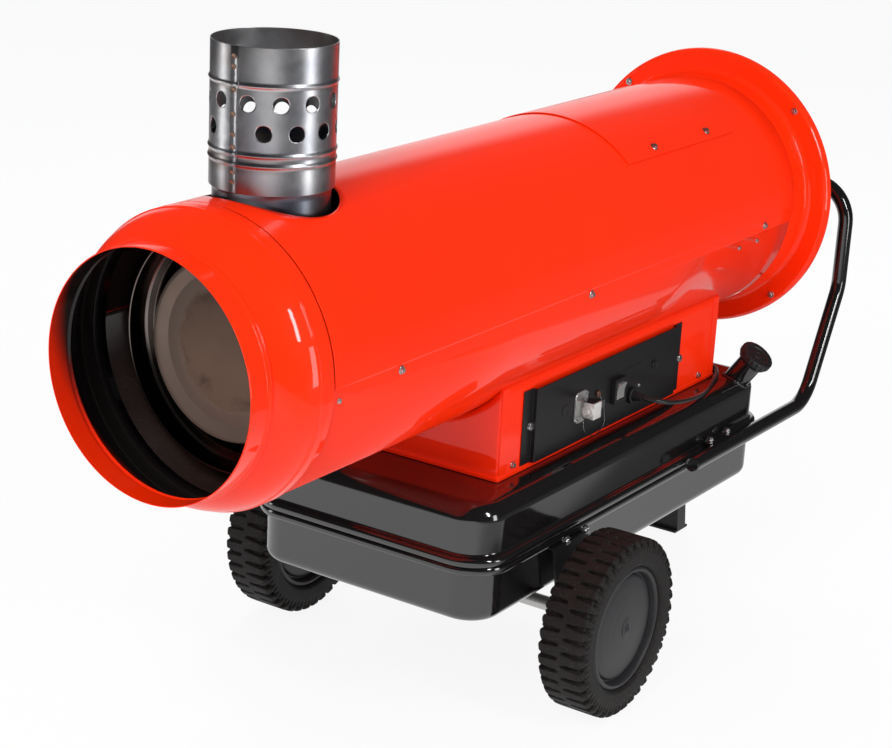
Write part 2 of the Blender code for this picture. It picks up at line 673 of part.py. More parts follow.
def fan():
    """The axial fan: a hub with blades set at a pitch, united into one piece."""
    hub_radius = FAN_HUB_DIAMETER / 2
    bore = SHAFT_DIAMETER / 2 + CLEARANCE
    start = SHAFT_END - FAN_HUB_LENGTH - CLEARANCE
    section = [(bore, 0), (hub_radius, 0), (hub_radius, FAN_HUB_LENGTH), (bore, FAN_HUB_LENGTH)]
    hub = turned("fan_impeller", section, (0, at(start), AXIS_HEIGHT), "Y", CAST, steps=SMALL_STEPS)
    inner = hub_radius - FAN_BLADE_CHORD / 14
    length = FAN_DIAMETER / 2 - inner
    for index in range(FAN_BLADES):
        angle = index * 2 * pi / FAN_BLADES
        rings = [blade_ring(inner + length * share, width) for share, width in FAN_BLADE_SHARES]
        blade = loft("fan_blade_%d" % index, rings, None)
        blade.location = (0, at(start + FAN_HUB_LENGTH / 2), AXIS_HEIGHT)
        blade.rotation_euler = (0, angle, 0)
        join(hub, blade)


def blade_ring(distance, width):
    """A blade's section at a distance from the shaft, as a thin box across the pitch."""
    along = Vector((0, sin(FAN_PITCH), cos(FAN_PITCH))) * FAN_BLADE_CHORD * width / 2
    across = Vector((0, cos(FAN_PITCH), -sin(FAN_PITCH))) * FAN_BLADE_WALL / 2
    centre = Vector((distance, 0, 0))
    return [centre - along - across, centre + along - across, centre + along + across,
            centre - along + across]


PUMP_SIZE = 0.056
PUMP_LENGTH = 0.062
PUMP_STAND = 0.042
FITTING_SINK = 0.017
TRANSFORMER_WIDTH = 0.062
TRANSFORMER_LENGTH = 0.088
TRANSFORMER_HEIGHT = 0.048
NOZZLE_DIAMETER = 0.012


def burner_fittings(blower_start):
    """What is bolted to the blower housing: pump, transformer and the nozzle holder."""
    radius = BLOWER_DIAMETER / 2
    middle = blower_start + BLOWER_LENGTH / 2
    # The pump is flanged to the housing's side and the transformer stands on its top
    pump = block("fuel_pump", (-radius - PUMP_STAND, at(middle) - PUMP_LENGTH / 2,
                               AXIS_HEIGHT - PUMP_SIZE / 2),
                 (FITTING_SINK - radius, at(middle) + PUMP_LENGTH / 2, AXIS_HEIGHT + PUMP_SIZE / 2), CAST)
    transformer = block("ignition_transformer", (-TRANSFORMER_WIDTH / 2, at(middle) - TRANSFORMER_LENGTH / 2,
                        AXIS_HEIGHT + radius - FITTING_SINK),
                        (TRANSFORMER_WIDTH / 2, at(middle) + TRANSFORMER_LENGTH / 2,
                        AXIS_HEIGHT + radius + TRANSFORMER_HEIGHT), PLASTIC)
    seat = drum("fitting_seat", radius + CLEARANCE, BLOWER_LENGTH + OVERRUN, (0, at(middle), AXIS_HEIGHT),
                steps=SMALL_STEPS)
    cut(pump, seat)
    cut(transformer, seat)
    # The nozzle holder with its flame disc lies in the blast tube
    reach = blower_start - BLAST_LENGTH
    head = inside(BLAST_DIAMETER / 2 - BLOWER_WALL, SMALL_STEPS)
    stem = NOZZLE_DIAMETER / 2
    section = [(0, -BLAST_LENGTH / 4), (stem, -BLAST_LENGTH / 4), (stem, 0), (head, 0), (head, BLOWER_WALL),
               (stem, BLOWER_WALL), (stem, BLAST_LENGTH / 2), (0, BLAST_LENGTH / 2)]
    turned("nozzle_holder", section, (0, at(reach), AXIS_HEIGHT), "Y", ZINC, steps=SMALL_STEPS, ring=False)


# Control box: a folded skirt between the tank and the barrel
BOX_HEM = 0.006


def control_box():
    half = BOX_WIDTH / 2
    foot = TANK_TOP + CLEARANCE
    top = AXIS_HEIGHT - sqrt(LOWER_RADIUS ** 2 - half ** 2) + OVERRUN
    box = block("control_box", (-half, at(BOX_REACH), foot), (half, at(BOX_REACH + BOX_LENGTH), top), RED)
    join(box, block("box_hem", (-half - SHEET, at(BOX_REACH) - SHEET, foot),
                    (half + SHEET, at(BOX_REACH + BOX_LENGTH) + SHEET, foot + BOX_HEM)))
    cut(box, drum("barrel_space", LOWER_RADIUS + CLEARANCE, BOX_LENGTH + 2 * OVERRUN,
                  (0, at(BOX_REACH + BOX_LENGTH / 2), AXIS_HEIGHT), steps=round(2 * pi / FACET)))
    cut(box, block("box_space", (-half + SHEET, at(BOX_REACH) + SHEET, foot - OVERRUN),
                   (half - SHEET, at(BOX_REACH + BOX_LENGTH) - SHEET, top + OVERRUN)))
    window_low = PANEL_BOTTOM + PANEL_TUCK
    window_high = PANEL_BOTTOM + PANEL_HEIGHT - PANEL_TUCK
    cut(box, block("panel_window", (half - OVERRUN, at(PANEL_REACH + PANEL_FLANGE), window_low),
                   (half + OVERRUN, at(PANEL_REACH + PANEL_LENGTH - PANEL_FLANGE), window_high)))


# Control panel: a hat-shaped plate with a socket, a switch, a gland and a reset button
PANEL_REACH = 0.584
PANEL_LENGTH = 0.436
PANEL_BOTTOM = 0.332
PANEL_HEIGHT = 0.1045
PANEL_FLANGE = 0.024
PANEL_TUCK = 0.008
PANEL_RAISE = 0.0065
SOCKET_REACH = PANEL_REACH + 0.137
SOCKET_HEIGHT = PANEL_BOTTOM + 0.051
SOCKET_PLATE_LENGTH = 0.033
SOCKET_PLATE_HEIGHT = 0.045
SOCKET_PLATE_WALL = 0.0025
COLLAR_WIDTH = 0.020
COLLAR_HEIGHT = 0.0225
COLLAR_DEPTH = 0.011
COLLAR_WALL = 0.002
HOOD_LENGTH = 0.017
HOOD_PLUG_DIAMETER = 0.0165
HOOD_PLUG_DEPTH = 0.008
HOOD_GRIP_SHARE = 0.45
PIVOT_REACH = 0.0075
PIVOT_DIAMETER = 0.0036
BAIL_WALL = 0.0012
BAIL_LENGTH = 0.019
BAIL_OFFSET = 0.013
BAIL_TAB = 0.008
BAIL_HEEL = 0.0029
SWITCH_REACH = PANEL_REACH + 0.238
SWITCH_HEIGHT = PANEL_BOTTOM + 0.0505
SWITCH_LENGTH = 0.026
SWITCH_TALL = 0.031
SWITCH_FRAME_DEPTH = 0.007
SWITCH_FRAME_WALL = 0.0025
ROCKER_TILT = radians(9)
ROCKER_SHARES = (0.70, 0.55, 0.30)
ROCKER_FOOT_SHARE = 0.90
ROCKER_PIVOT_SHARE = 0.72
BUTTON_REACH = PANEL_REACH + 0.345
BUTTON_HEIGHT = PANEL_BOTTOM + 0.062
BUTTON_DIAMETER = 0.008
BUTTON_BEZEL_DIAMETER = 0.013
BUTTON_STAND = 0.0045
BUTTON_TRAVEL = 0.002
GLAND_REACH = PANEL_REACH + 0.282
GLAND_HEIGHT = PANEL_BOTTOM + 0.031
GLAND_DIAMETER = 0.024
GLAND_WALL = 0.003
GLAND_SLEEVE = 0.020
GLAND_NUT_SHARE = 0.62
CORD_DIAMETER = 0.007

PANEL_INNER = BOX_WIDTH / 2 + CLEARANCE
PANEL_FACE = PANEL_INNER + SHEET + PANEL_RAISE


def control_panel():
    low = at(PANEL_REACH)
    high = at(PANEL_REACH + PANEL_LENGTH)
    base = PANEL_INNER
    sheet = SHEET
    rise = PANEL_RAISE
    step_in = low + PANEL_FLANGE
    step_out = high - PANEL_FLANGE
    # The hat section, seen from above: flange, raised middle, flange
    outline = [(base, low), (base + sheet, low), (base + sheet, step_in - sheet),
               (base + sheet + rise, step_in - sheet),
               (base + sheet + rise, step_out + sheet), (base + sheet, step_out + sheet),
               (base + sheet, high),
               (base, high), (base, step_out), (base + rise, step_out), (base + rise, step_in),
               (base, step_in)]
    panel = flat("panel_plate", outline, PANEL_HEIGHT, (0, 0, PANEL_BOTTOM + PANEL_HEIGHT / 2), (0, 0, 0),
                 PANEL_BLACK)
    face = PANEL_FACE
    cut(panel, block("socket_window", (face - OVERRUN, at(SOCKET_REACH) - COLLAR_WIDTH / 2, SOCKET_HEIGHT
                     - COLLAR_HEIGHT / 2), (face + OVERRUN, at(SOCKET_REACH) + COLLAR_WIDTH / 2,
                     SOCKET_HEIGHT + COLLAR_HEIGHT / 2)),
        block("switch_window", (face - OVERRUN, at(SWITCH_REACH) - SWITCH_LENGTH / 2,
                                SWITCH_HEIGHT - SWITCH_TALL / 2),
              (face + OVERRUN, at(SWITCH_REACH) + SWITCH_LENGTH / 2, SWITCH_HEIGHT + SWITCH_TALL / 2)),
        drum("gland_hole", GLAND_DIAMETER / 2 - GLAND_WALL, OVERRUN, (face, at(GLAND_REACH), GLAND_HEIGHT),
             "X"),
        drum("button_hole", BUTTON_DIAMETER / 2 + BUTTON_WALL, OVERRUN,
             (face, at(BUTTON_REACH), BUTTON_HEIGHT), "X"))
    thermostat_socket()
    switch()
    reset_button()
    gland()


def thermostat_socket():
    """A die-cast socket on a flanged plate, the hooded plug in it, and the bail that locks it."""
    middle = at(SOCKET_REACH)
    seat = PANEL_FACE + CLEARANCE
    half = COLLAR_WIDTH / 2
    tall = COLLAR_HEIGHT / 2
    mouth = seat + COLLAR_DEPTH
    plate = rounded(SOCKET_PLATE_LENGTH / 2, SOCKET_PLATE_HEIGHT / 2, SOCKET_PLATE_LENGTH / 3)
    socket = flat("thermostat_socket", plate, SOCKET_PLATE_WALL,
                  (seat + SOCKET_PLATE_WALL / 2, middle, SOCKET_HEIGHT),
                  (pi / 2, 0, pi / 2), CAST)
    join(socket, block("socket_collar", (seat - PANEL_RAISE, middle - half + CLEARANCE,
                                         SOCKET_HEIGHT - tall + CLEARANCE),
                       (mouth, middle + half - CLEARANCE, SOCKET_HEIGHT + tall - CLEARANCE)))
    pivot = (seat + PIVOT_REACH, middle, SOCKET_HEIGHT)
    join(socket, drum("socket_pivot", PIVOT_DIAMETER / 2, COLLAR_HEIGHT + 4 * BAIL_WALL, pivot, "Z",
                      steps=PIN_STEPS))
    cut(socket, block("socket_mouth", (seat, middle - half + COLLAR_WALL, SOCKET_HEIGHT - tall + COLLAR_WALL),
                      (mouth + OVERRUN, middle + half - COLLAR_WALL, SOCKET_HEIGHT + tall - COLLAR_WALL)))

    # The plug's hood, with a spigot in the collar and a turned blanking plug in its cable entry
    spigot = half - COLLAR_WALL - CLEARANCE
    spigot_tall = tall - COLLAR_WALL - CLEARANCE
    hood = block("socket_plug", (mouth + CLEARANCE, middle - half, SOCKET_HEIGHT - tall),
                 (mouth + HOOD_LENGTH, middle + half, SOCKET_HEIGHT + tall), CAST, COLLAR_WALL / 2)
    join(hood, block("plug_spigot", (seat + CLEARANCE, middle - spigot, SOCKET_HEIGHT - spigot_tall),
                     (mouth + COLLAR_WALL, middle + spigot, SOCKET_HEIGHT + spigot_tall)))
    grip = HOOD_PLUG_DIAMETER / 2
    depth = HOOD_PLUG_DEPTH
    stem = grip * HOOD_GRIP_SHARE
    section = [(0, -depth), (stem, -depth), (stem, -depth / 2), (grip, -depth / 2), (grip, COLLAR_WALL),
               (0, COLLAR_WALL)]
    join(hood, turned("blanking_plug", section, (mouth + HOOD_LENGTH / 2, middle - half, SOCKET_HEIGHT), "Y",
                      steps=SMALL_STEPS, ring=False))

    # The bail: two plates on the pivot, above and below the hood, joined behind it and with a finger tab
    outline = [(-BAIL_HEEL, -BAIL_HEEL), (PIVOT_DIAMETER, -half), (BAIL_LENGTH, -half),
               (BAIL_LENGTH, BAIL_OFFSET), (PIVOT_REACH, BAIL_OFFSET), (-BAIL_HEEL, BAIL_HEEL)]
    inner = tall + CLEARANCE
    bail = flat("socket_bail", outline, 2 * (inner + BAIL_WALL), pivot, (0, 0, 0), CAST)
    x, y, z = pivot
    join(bail, block("bail_tab", (x + BAIL_LENGTH - BAIL_WALL, y + BAIL_OFFSET - BAIL_WALL, z),
                     (x + BAIL_LENGTH, y + BAIL_OFFSET + BAIL_TAB, z + inner)))
    cut(bail, block("bail_space", (x - OVERRUN, y - OVERRUN, z - inner),
                    (x + 2 * OVERRUN, y + BAIL_OFFSET - BAIL_WALL,
                    z + inner)))
    cut(bail, drum("bail_bore", PIVOT_DIAMETER / 2 + CLEARANCE / 2, COLLAR_HEIGHT + OVERRUN, pivot, "Z",
                   steps=PIN_STEPS))


def switch():
    """The on-off rocker in its frame. The rocker turns on the frame's middle."""
    middle = at(SWITCH_REACH)
    seat = PANEL_FACE + CLEARANCE
    half = SWITCH_LENGTH / 2
    tall = SWITCH_TALL / 2
    wall = SWITCH_FRAME_WALL
    depth = SWITCH_FRAME_DEPTH
    frame = block("switch_frame", (seat, middle - half - wall, SWITCH_HEIGHT - tall - wall),
                  (seat + depth, middle + half + wall, SWITCH_HEIGHT + tall + wall), PLASTIC)
    join(frame, block("switch_housing", (seat - 3 * depth, middle - half + CLEARANCE,
                                         SWITCH_HEIGHT - tall + CLEARANCE),
                      (seat + depth / 2, middle + half - CLEARANCE, SWITCH_HEIGHT + tall - CLEARANCE)))
    cut(frame, block("rocker_space", (seat - depth, middle - half + wall, SWITCH_HEIGHT - tall + wall),
                     (seat + OVERRUN, middle + half - wall, SWITCH_HEIGHT + tall - wall)))
    # The rocker is tilted to its off side, with its upper half out
    rocker_half = half - wall - CLEARANCE
    rocker_tall = tall - wall - 4 * CLEARANCE
    back, edge, dip = (depth * share for share in ROCKER_SHARES)
    foot = rocker_tall * ROCKER_FOOT_SHARE
    outline = [(-back, -foot), (edge, -rocker_tall), (dip, 0), (edge, rocker_tall), (-back, foot)]
    flat("switch_rocker", outline, 2 * rocker_half, (seat + depth * ROCKER_PIVOT_SHARE, middle,
                                                     SWITCH_HEIGHT),
         (pi / 2, ROCKER_TILT, 0), GREY)


BUTTON_WALL = 0.001
BUTTON_NECK = 0.010


def reset_button():
    """The reset button in its threaded bezel."""
    seat = PANEL_FACE + CLEARANCE
    place = (seat, at(BUTTON_REACH), BUTTON_HEIGHT)
    bore = BUTTON_DIAMETER / 2 + CLEARANCE
    neck = BUTTON_DIAMETER / 2 + BUTTON_WALL - CLEARANCE
    rim = BUTTON_BEZEL_DIAMETER / 2
    section = [(bore, -BUTTON_NECK), (neck, -BUTTON_NECK), (neck, 0), (rim, 0), (rim, BUTTON_WALL),
               (bore, BUTTON_TRAVEL)]
    turned("button_bezel", section, place, "X", ZINC, steps=SMALL_STEPS)
    radius = BUTTON_DIAMETER / 2
    section = [(0, BUTTON_TRAVEL - BUTTON_NECK), (radius, BUTTON_TRAVEL - BUTTON_NECK),
               (radius, BUTTON_STAND - BUTTON_WALL),
               (radius - BUTTON_WALL, BUTTON_STAND), (0, BUTTON_STAND)]
    turned("reset_button", section, place, "X", PLASTIC, steps=SMALL_STEPS, ring=False)


def gland():
    """The cable's flanged gland with its tapered sleeve."""
    seat = PANEL_FACE + CLEARANCE
    radius = GLAND_DIAMETER / 2
    neck = radius - GLAND_WALL - CLEARANCE
    bore = CORD_DIAMETER / 2 + CLEARANCE
    section = [(bore, -2 * GLAND_WALL), (neck, -2 * GLAND_WALL), (neck, 0), (radius, 0), (radius, GLAND_WALL),
               (radius * GLAND_NUT_SHARE, 2 * GLAND_WALL), (bore + GLAND_WALL / 2, GLAND_SLEEVE),
               (bore, GLAND_SLEEVE)]
    turned("cable_gland", section, (seat, at(GLAND_REACH), GLAND_HEIGHT), "X", PLASTIC, steps=SMALL_STEPS)


# Fuel tank: two pressed halves with flanges that meet at the seam, a filler and a drain plug
TANK_WALL = 0.0015
NECK_DIAMETER = 0.038
NECK_LEAN = radians(35)
NECK_OFFSET = 0.020
NECK_REACH = 1.165
NECK_LENGTH = 0.050
NECK_SINK = 0.022
CAP_DIAMETER = 0.054
CAP_HEIGHT = 0.016
CAP_WALL = 0.003
CAP_RECESS_SHARE = 0.60
DRAIN_DIAMETER = 0.022
DRAIN_NECK_DIAMETER = 0.0154
DRAIN_REACH = 0.480
TANK_MIDDLE = TANK_REACH + TANK_LENGTH / 2


def tank_ring(inset, height):
    """The tank's rounded outline, drawn in by an inset, at a height."""
    outline = rounded(TANK_HALF - inset, TANK_LENGTH / 2 - inset, max(TANK_CORNER - inset, TANK_CORNER / 4))
    return [(x, y + at(TANK_MIDDLE), height) for x, y in outline]


def fuel_tank():
    edge = TANK_TOP_EDGE
    lip_top = SEAM_HEIGHT + LIP_HEIGHT
    rings = [tank_ring(-LIP_WIDTH * LIP_SHARES[0], SEAM_HEIGHT + CLEARANCE / 2),
             tank_ring(-LIP_WIDTH, SEAM_HEIGHT + LIP_HEIGHT / 4),
             tank_ring(-LIP_WIDTH, lip_top - LIP_HEIGHT / 4), tank_ring(-LIP_WIDTH * LIP_SHARES[1], lip_top),
             tank_ring(0, lip_top + CLEARANCE)]
    rings += [tank_ring(edge * (1 - cos(a)), TANK_TOP - edge * (1 - sin(a))) for a in (0, pi / 6, pi / 3,
                                                                                       pi / 2)]
    upper = loft("tank_upper", rings, BLACK, caps=(False, True))
    thicken(upper, TANK_WALL)

    edge = TANK_BOTTOM_EDGE
    lip_low = SEAM_HEIGHT - LIP_HEIGHT
    rings = [tank_ring(edge * (1 - cos(a)), TANK_BOTTOM + edge * (1 - sin(a))) for a in (pi / 2, pi / 3,
                                                                                         pi / 6, 0)]
    rings += [tank_ring(0, lip_low - CLEARANCE), tank_ring(-LIP_WIDTH * LIP_SHARES[1], lip_low),
              tank_ring(-LIP_WIDTH, lip_low + LIP_HEIGHT / 4),
              tank_ring(-LIP_WIDTH, SEAM_HEIGHT - LIP_HEIGHT / 4),
              tank_ring(-LIP_WIDTH * LIP_SHARES[0], SEAM_HEIGHT - CLEARANCE / 2)]
    lower = loft("tank_lower", rings, BLACK, caps=(True, False))
    thicken(lower, TANK_WALL)

    # The filler neck leans out over the tank's rear corner
    lean = Vector((sin(NECK_LEAN), 0, cos(NECK_LEAN)))
    turn = (0, NECK_LEAN, 0)
    foot = Vector((TANK_HALF - NECK_OFFSET, at(NECK_REACH), TANK_TOP - TANK_TOP_EDGE / 4))
    radius = NECK_DIAMETER / 2
    wall = TANK_WALL
    section = [(radius - wall, -NECK_SINK), (radius, -NECK_SINK), (radius, NECK_LENGTH),
               (radius - wall, NECK_LENGTH)]
    turned("filler_neck", section, foot, material=BLACK, steps=MIDDLE_STEPS, turn=turn)
    cut(upper, drum("neck_hole", radius + CLEARANCE, 2 * NECK_LENGTH, foot, turn=turn, steps=MIDDLE_STEPS))
    cap = CAP_DIAMETER / 2
    inner = radius + CLEARANCE
    recess = cap * CAP_RECESS_SHARE
    top = CAP_HEIGHT
    section = [(0, CLEARANCE), (inner, CLEARANCE), (inner, -top / 2), (cap - CAP_WALL, -top / 2),
               (cap, -top / 4),
               (cap, top / 2 - CAP_WALL / 2), (cap - CAP_WALL, top / 2), (recess, top / 2),
               (recess - CAP_WALL / 3, top / 2 - CAP_WALL / 2), (0, top / 2 - CAP_WALL / 2)]
    turned("filler_cap", section, foot + lean * NECK_LENGTH, material=PLASTIC, steps=MIDDLE_STEPS,
           ring=False, turn=turn)

    # The drain plug closes a hole in the tank's floor
    radius = DRAIN_DIAMETER / 2
    neck = DRAIN_NECK_DIAMETER / 2
    place = (0, at(DRAIN_REACH), TANK_BOTTOM)
    section = [(0, -radius / 2), (radius, -radius / 2), (radius, -CLEARANCE), (neck, -CLEARANCE),
               (neck, radius / 2), (0, radius / 2)]
    turned("drain_plug", section, place, "Z", ZINC, steps=HEXAGON, ring=False)
    cut(lower, drum("drain_hole", neck + CLEARANCE, OVERRUN, place, "Z"))


# Running gear: axle, brackets, wheels and the rear foot
RIM_DIAMETER = 0.172
HUB_DIAMETER = 0.044
AXLE_CAP_DIAMETER = 0.032
AXLE_CAP_DEPTH = 0.006
TYRE_SHARES = ((0.0, 0.84), (0.14, 1.0), (0.82, 1.0), (1.0, 0.84))
RIM_FACE_SHARE = 0.90
RIM_EDGE_SHARE = 0.86
RIM_SHARES = ((0.80, 0.55), (0.86, -0.89), (1.0, -0.89), (1.0, RIM_EDGE_SHARE), (0.95, 0.98), (0.88, 0.84))
HUB_SHARES = (0.90, 0.94)
AXLE_CAP_SHARE = 0.6
BRACKET_WALL = 0.003
BRACKET_WIDTH = 0.090
BRACKET_FOOT = 0.040
FOOT_WIDTH = 0.088
FOOT_DEPTH = 0.028
FOOT_REACH = 1.262
FOOT_PLATE = 0.004


def running_gear():
    axle_height = WHEEL_RADIUS
    axle_radius = AXLE_DIAMETER / 2
    half_track = TRACK / 2
    axle_end = half_track + TYRE_WIDTH / 2
    drum("axle", axle_radius, 2 * axle_end, (0, at(WHEEL_REACH), axle_height), "X", ZINC)
    for side, name in ((1, "right"), (-1, "left")):
        wheel(side, name, (side * half_track, at(WHEEL_REACH), axle_height), side * axle_end)
        # The bracket: a flange bolted under the tank's lip and a cheek down to the axle
        near_face = TANK_HALF + LIP_WIDTH + CLEARANCE
        far_face = near_face + BRACKET_WALL
        flange_top = SEAM_HEIGHT - LIP_HEIGHT - 2 * CLEARANCE
        outline = [(-BRACKET_WIDTH / 2, flange_top), (-BRACKET_FOOT / 2, axle_height - axle_radius * 2),
                   (BRACKET_FOOT / 2, axle_height - axle_radius * 2), (BRACKET_WIDTH / 2, flange_top)]
        place = (side * (near_face + far_face) / 2, at(WHEEL_REACH), 0)
        cheek = flat("axle_bracket_" + name, outline, BRACKET_WALL, place, (pi / 2, 0, pi / 2), BLACK)
        near, far = sorted((side * (TANK_HALF + CLEARANCE), side * far_face))
        join(cheek, block("bracket_flange", (near, at(WHEEL_REACH) - BRACKET_WIDTH / 2,
                                             flange_top - BRACKET_WALL),
                          (far, at(WHEEL_REACH) + BRACKET_WIDTH / 2, flange_top)))
        cut(cheek, drum("axle_hole", axle_radius + CLEARANCE, OVERRUN * 2, place[:2] + (axle_height,), "X"))


def wheel(side, name, centre, axle_end):
    """A rubber tyre on a dished plastic rim, kept on the axle by a cap."""
    turn = (0, side * pi / 2, 0)
    outer = WHEEL_RADIUS
    half = TYRE_WIDTH / 2
    bead = RIM_DIAMETER / 2
    wall = outer - bead
    tyre_side = [(max(bead + CLEARANCE, bead + wall * r), half * x) for r, x in TYRE_SHARES]
    section = tyre_side + [(r, -x) for r, x in reversed(tyre_side)]
    turned("tyre_" + name, section, centre, material=RUBBER, turn=turn, steps=WHEEL_STEPS)
    bore = AXLE_DIAMETER / 2 + CLEARANCE
    hub = HUB_DIAMETER / 2
    face = half * RIM_FACE_SHARE
    back = -half * HUB_SHARES[1]
    section = [(bore, back), (hub * HUB_SHARES[0], back), (hub, face * RIM_SHARES[0][1])]
    section += [(bead * r, face * x) for r, x in RIM_SHARES] + [(bore, face * RIM_SHARES[-1][1])]
    turned("wheel_rim_" + name, section, centre, material=HUB, steps=WHEEL_STEPS, turn=turn)
    cap = AXLE_CAP_DIAMETER / 2
    depth = AXLE_CAP_DEPTH
    place = (axle_end, centre[1], centre[2])
    seat = depth / 2 - face * (1 - RIM_EDGE_SHARE) - (half - face)
    section = [(0, CLEARANCE), (bore, CLEARANCE), (bore, seat), (cap, seat), (cap, -depth / 3),
               (cap * AXLE_CAP_SHARE, depth / 3), (0, depth / 3)]
    turned("axle_cap_" + name, section, place, material=ZINC, steps=SMALL_STEPS, ring=False, turn=turn)


def rear_foot():
    """A folded channel from the tank's rear lip down to the floor, with a foot plate."""
    half = FOOT_WIDTH / 2
    wall = BRACKET_WALL
    top_front = at(TANK_REACH + TANK_LENGTH) + LIP_WIDTH + CLEARANCE
    foot_front = at(FOOT_REACH)
    top = SEAM_HEIGHT - LIP_HEIGHT / 2

    def channel(front, height):
        back = front + FOOT_DEPTH
        return [(-half, front, height), (half, front, height), (half, back, height),
                (half - wall, back, height),
                (half - wall, front + wall, height), (-half + wall, front + wall, height),
                (-half + wall, back, height), (-half, back, height)]

    foot = loft("rear_foot", [channel(foot_front, FOOT_PLATE / 2), channel(top_front, top)], BLACK)
    join(foot, block("foot_plate", (-half, foot_front - FOOT_DEPTH / 4, 0),
                     (half, foot_front + FOOT_DEPTH * 1.25,
                     FOOT_PLATE)))
    # A tab reaches in under the lip, where the bolts hold it
    tab_top = SEAM_HEIGHT - LIP_HEIGHT - 2 * CLEARANCE
    join(foot, block("foot_tab", (-half, at(TANK_REACH + TANK_LENGTH) + CLEARANCE, tab_top - wall),
                     (half, top_front + wall * 2, tab_top)))


# Handle: one bent tube from side to side behind the barrel, held on the tank's lip
HANDLE_STANDOFF = 0.0225
HANDLE_LIFT = 0.0055
HANDLE_KNEE_REACH = 1.332
HANDLE_SHOULDER = 0.421
HANDLE_BEND = 0.060
CLAMP_REACH = 1.0625
CLAMP_SPAN = 0.080
PLUG_DEPTH = 0.004


def handle():
    side = TANK_HALF + HANDLE_STANDOFF
    low = SEAM_HEIGHT + HANDLE_LIFT
    back = at(HANDLE_REACH)
    half = [(side, at(HANDLE_START), low), (side, at(HANDLE_KNEE_REACH), low), (side, back, HANDLE_SHOULDER),
            (side, back, HANDLE_TOP)]
    mirrored = [(-x, y, z) for x, y, z in reversed(half)]
    bar = tube("handle_tube", bent(half + mirrored, HANDLE_BEND), HANDLE_RADIUS, BLACK)
    for way, name in ((1, "right"), (-1, "left")):
        place = (way * side, at(HANDLE_START) - CLEARANCE, low)
        section = [(0, -PLUG_DEPTH), (HANDLE_RADIUS - PLUG_DEPTH / 2, -PLUG_DEPTH),
                   (HANDLE_RADIUS, -PLUG_DEPTH / 2),
                   (HANDLE_RADIUS, 0), (0, 0)]
        turned("handle_plug_" + name, section, place, "Y", PLASTIC, steps=SMALL_STEPS, ring=False)
        # The clamp: a plate on the lip's top whose outer edge is welded to the tube
        lip_top = SEAM_HEIGHT + LIP_HEIGHT + 2 * CLEARANCE
        near, far = sorted((way * (TANK_HALF + CLEARANCE), way * side))
        clamp = block("handle_clamp_" + name, (near, at(CLAMP_REACH) - CLAMP_SPAN / 2, lip_top),
                      (far, at(CLAMP_REACH) + CLAMP_SPAN / 2, lip_top + BRACKET_WALL), BLACK)
        cut(clamp, drum("tube_space", HANDLE_RADIUS + CLEARANCE, 2 * CLAMP_SPAN,
                        (way * side, at(CLAMP_REACH), low)))


# Inside the control box: the burner's control unit, the filter and the suction line
UNIT_WIDTH = 0.090
UNIT_LENGTH = 0.095
UNIT_HEIGHT = 0.050
UNIT_REACH = 0.640
FILTER_DIAMETER = 0.048
FILTER_HEIGHT = 0.052
FILTER_REACH = 0.900
FILTER_OFFSET = 0.060
FILTER_SHARES = (0.7, 0.5)


def fuel_and_control():
    floor = TANK_TOP + CLEARANCE
    block("burner_control_unit", (-UNIT_WIDTH / 2, at(UNIT_REACH), floor),
          (UNIT_WIDTH / 2, at(UNIT_REACH) + UNIT_LENGTH, floor + UNIT_HEIGHT), PLASTIC)
    radius = FILTER_DIAMETER / 2
    place = Vector((-FILTER_OFFSET, at(FILTER_REACH), floor))
    foot, top = FILTER_SHARES
    section = [(0, 0), (radius * foot, 0), (radius, radius / 4), (radius, FILTER_HEIGHT * foot),
               (radius * top, FILTER_HEIGHT), (0, FILTER_HEIGHT)]
    turned("fuel_filter", section, place, "Z", CAST, steps=SMALL_STEPS, ring=False)


# Power cord: down from the gland on to the tank, round the box's rear corner, down behind the
# tank and into a coil on the floor. The points are X, reach from the outlet's rim, and Z.
CORD_ROUTE = (
    (0.1689, 0.8660, 0.3630), (0.1780, 0.8675, 0.3625), (0.1870, 0.8730, 0.3610), (0.1940, 0.8825, 0.3590),
    (0.1978, 0.8950, 0.3562), (0.1990, 0.9100, 0.3532), (0.1985, 0.9280, 0.3496), (0.1965, 0.9480, 0.3458),
    (0.1932, 0.9700, 0.3415), (0.1885, 0.9930, 0.3371), (0.1835, 1.0160, 0.3330), (0.1775, 1.0400, 0.3296),
    (0.1705, 1.0660, 0.3279), (0.1625, 1.0920, 0.3281), (0.1540, 1.1190, 0.3281), (0.1450, 1.1440, 0.3281),
    (0.1310, 1.1645, 0.3281), (0.1120, 1.1730, 0.3281), (0.0850, 1.1740, 0.3281), (0.0200, 1.1700, 0.3281),
    (-0.0540, 1.1685, 0.3281), (-0.0780, 1.1700, 0.3281), (-0.0950, 1.1765, 0.3281),
    (-0.1055, 1.1880, 0.3281),
    (-0.1095, 1.2000, 0.3281), (-0.1100, 1.2125, 0.3253), (-0.1100, 1.2230, 0.3175),
    (-0.1100, 1.2300, 0.3050),
    (-0.1100, 1.2330, 0.2885), (-0.1100, 1.2345, 0.2700), (-0.1100, 1.2350, 0.2450),
    (-0.1100, 1.2360, 0.1600),
    (-0.1100, 1.2370, 0.1000), (-0.1100, 1.2405, 0.0650), (-0.1100, 1.2490, 0.0370),
    (-0.1100, 1.2640, 0.0160),
    (-0.1100, 1.2830, 0.0058), (-0.1100, 1.3030, 0.0038), (-0.1100, 1.3130, 0.0038),
    (-0.1100, 1.3230, 0.0038))
COIL_RADIUS = 0.0463
COIL_GAP = 0.0006
COIL_TURNS = 2.25
COIL_CLIMB = 0.5
COIL_POINTS = 24
COIL_TAIL = 0.030
CORD_SPACING = 2.9
PLUG_DIAMETER = 0.038
PLUG_LENGTH = 0.042
PIN_DIAMETER = 0.0048
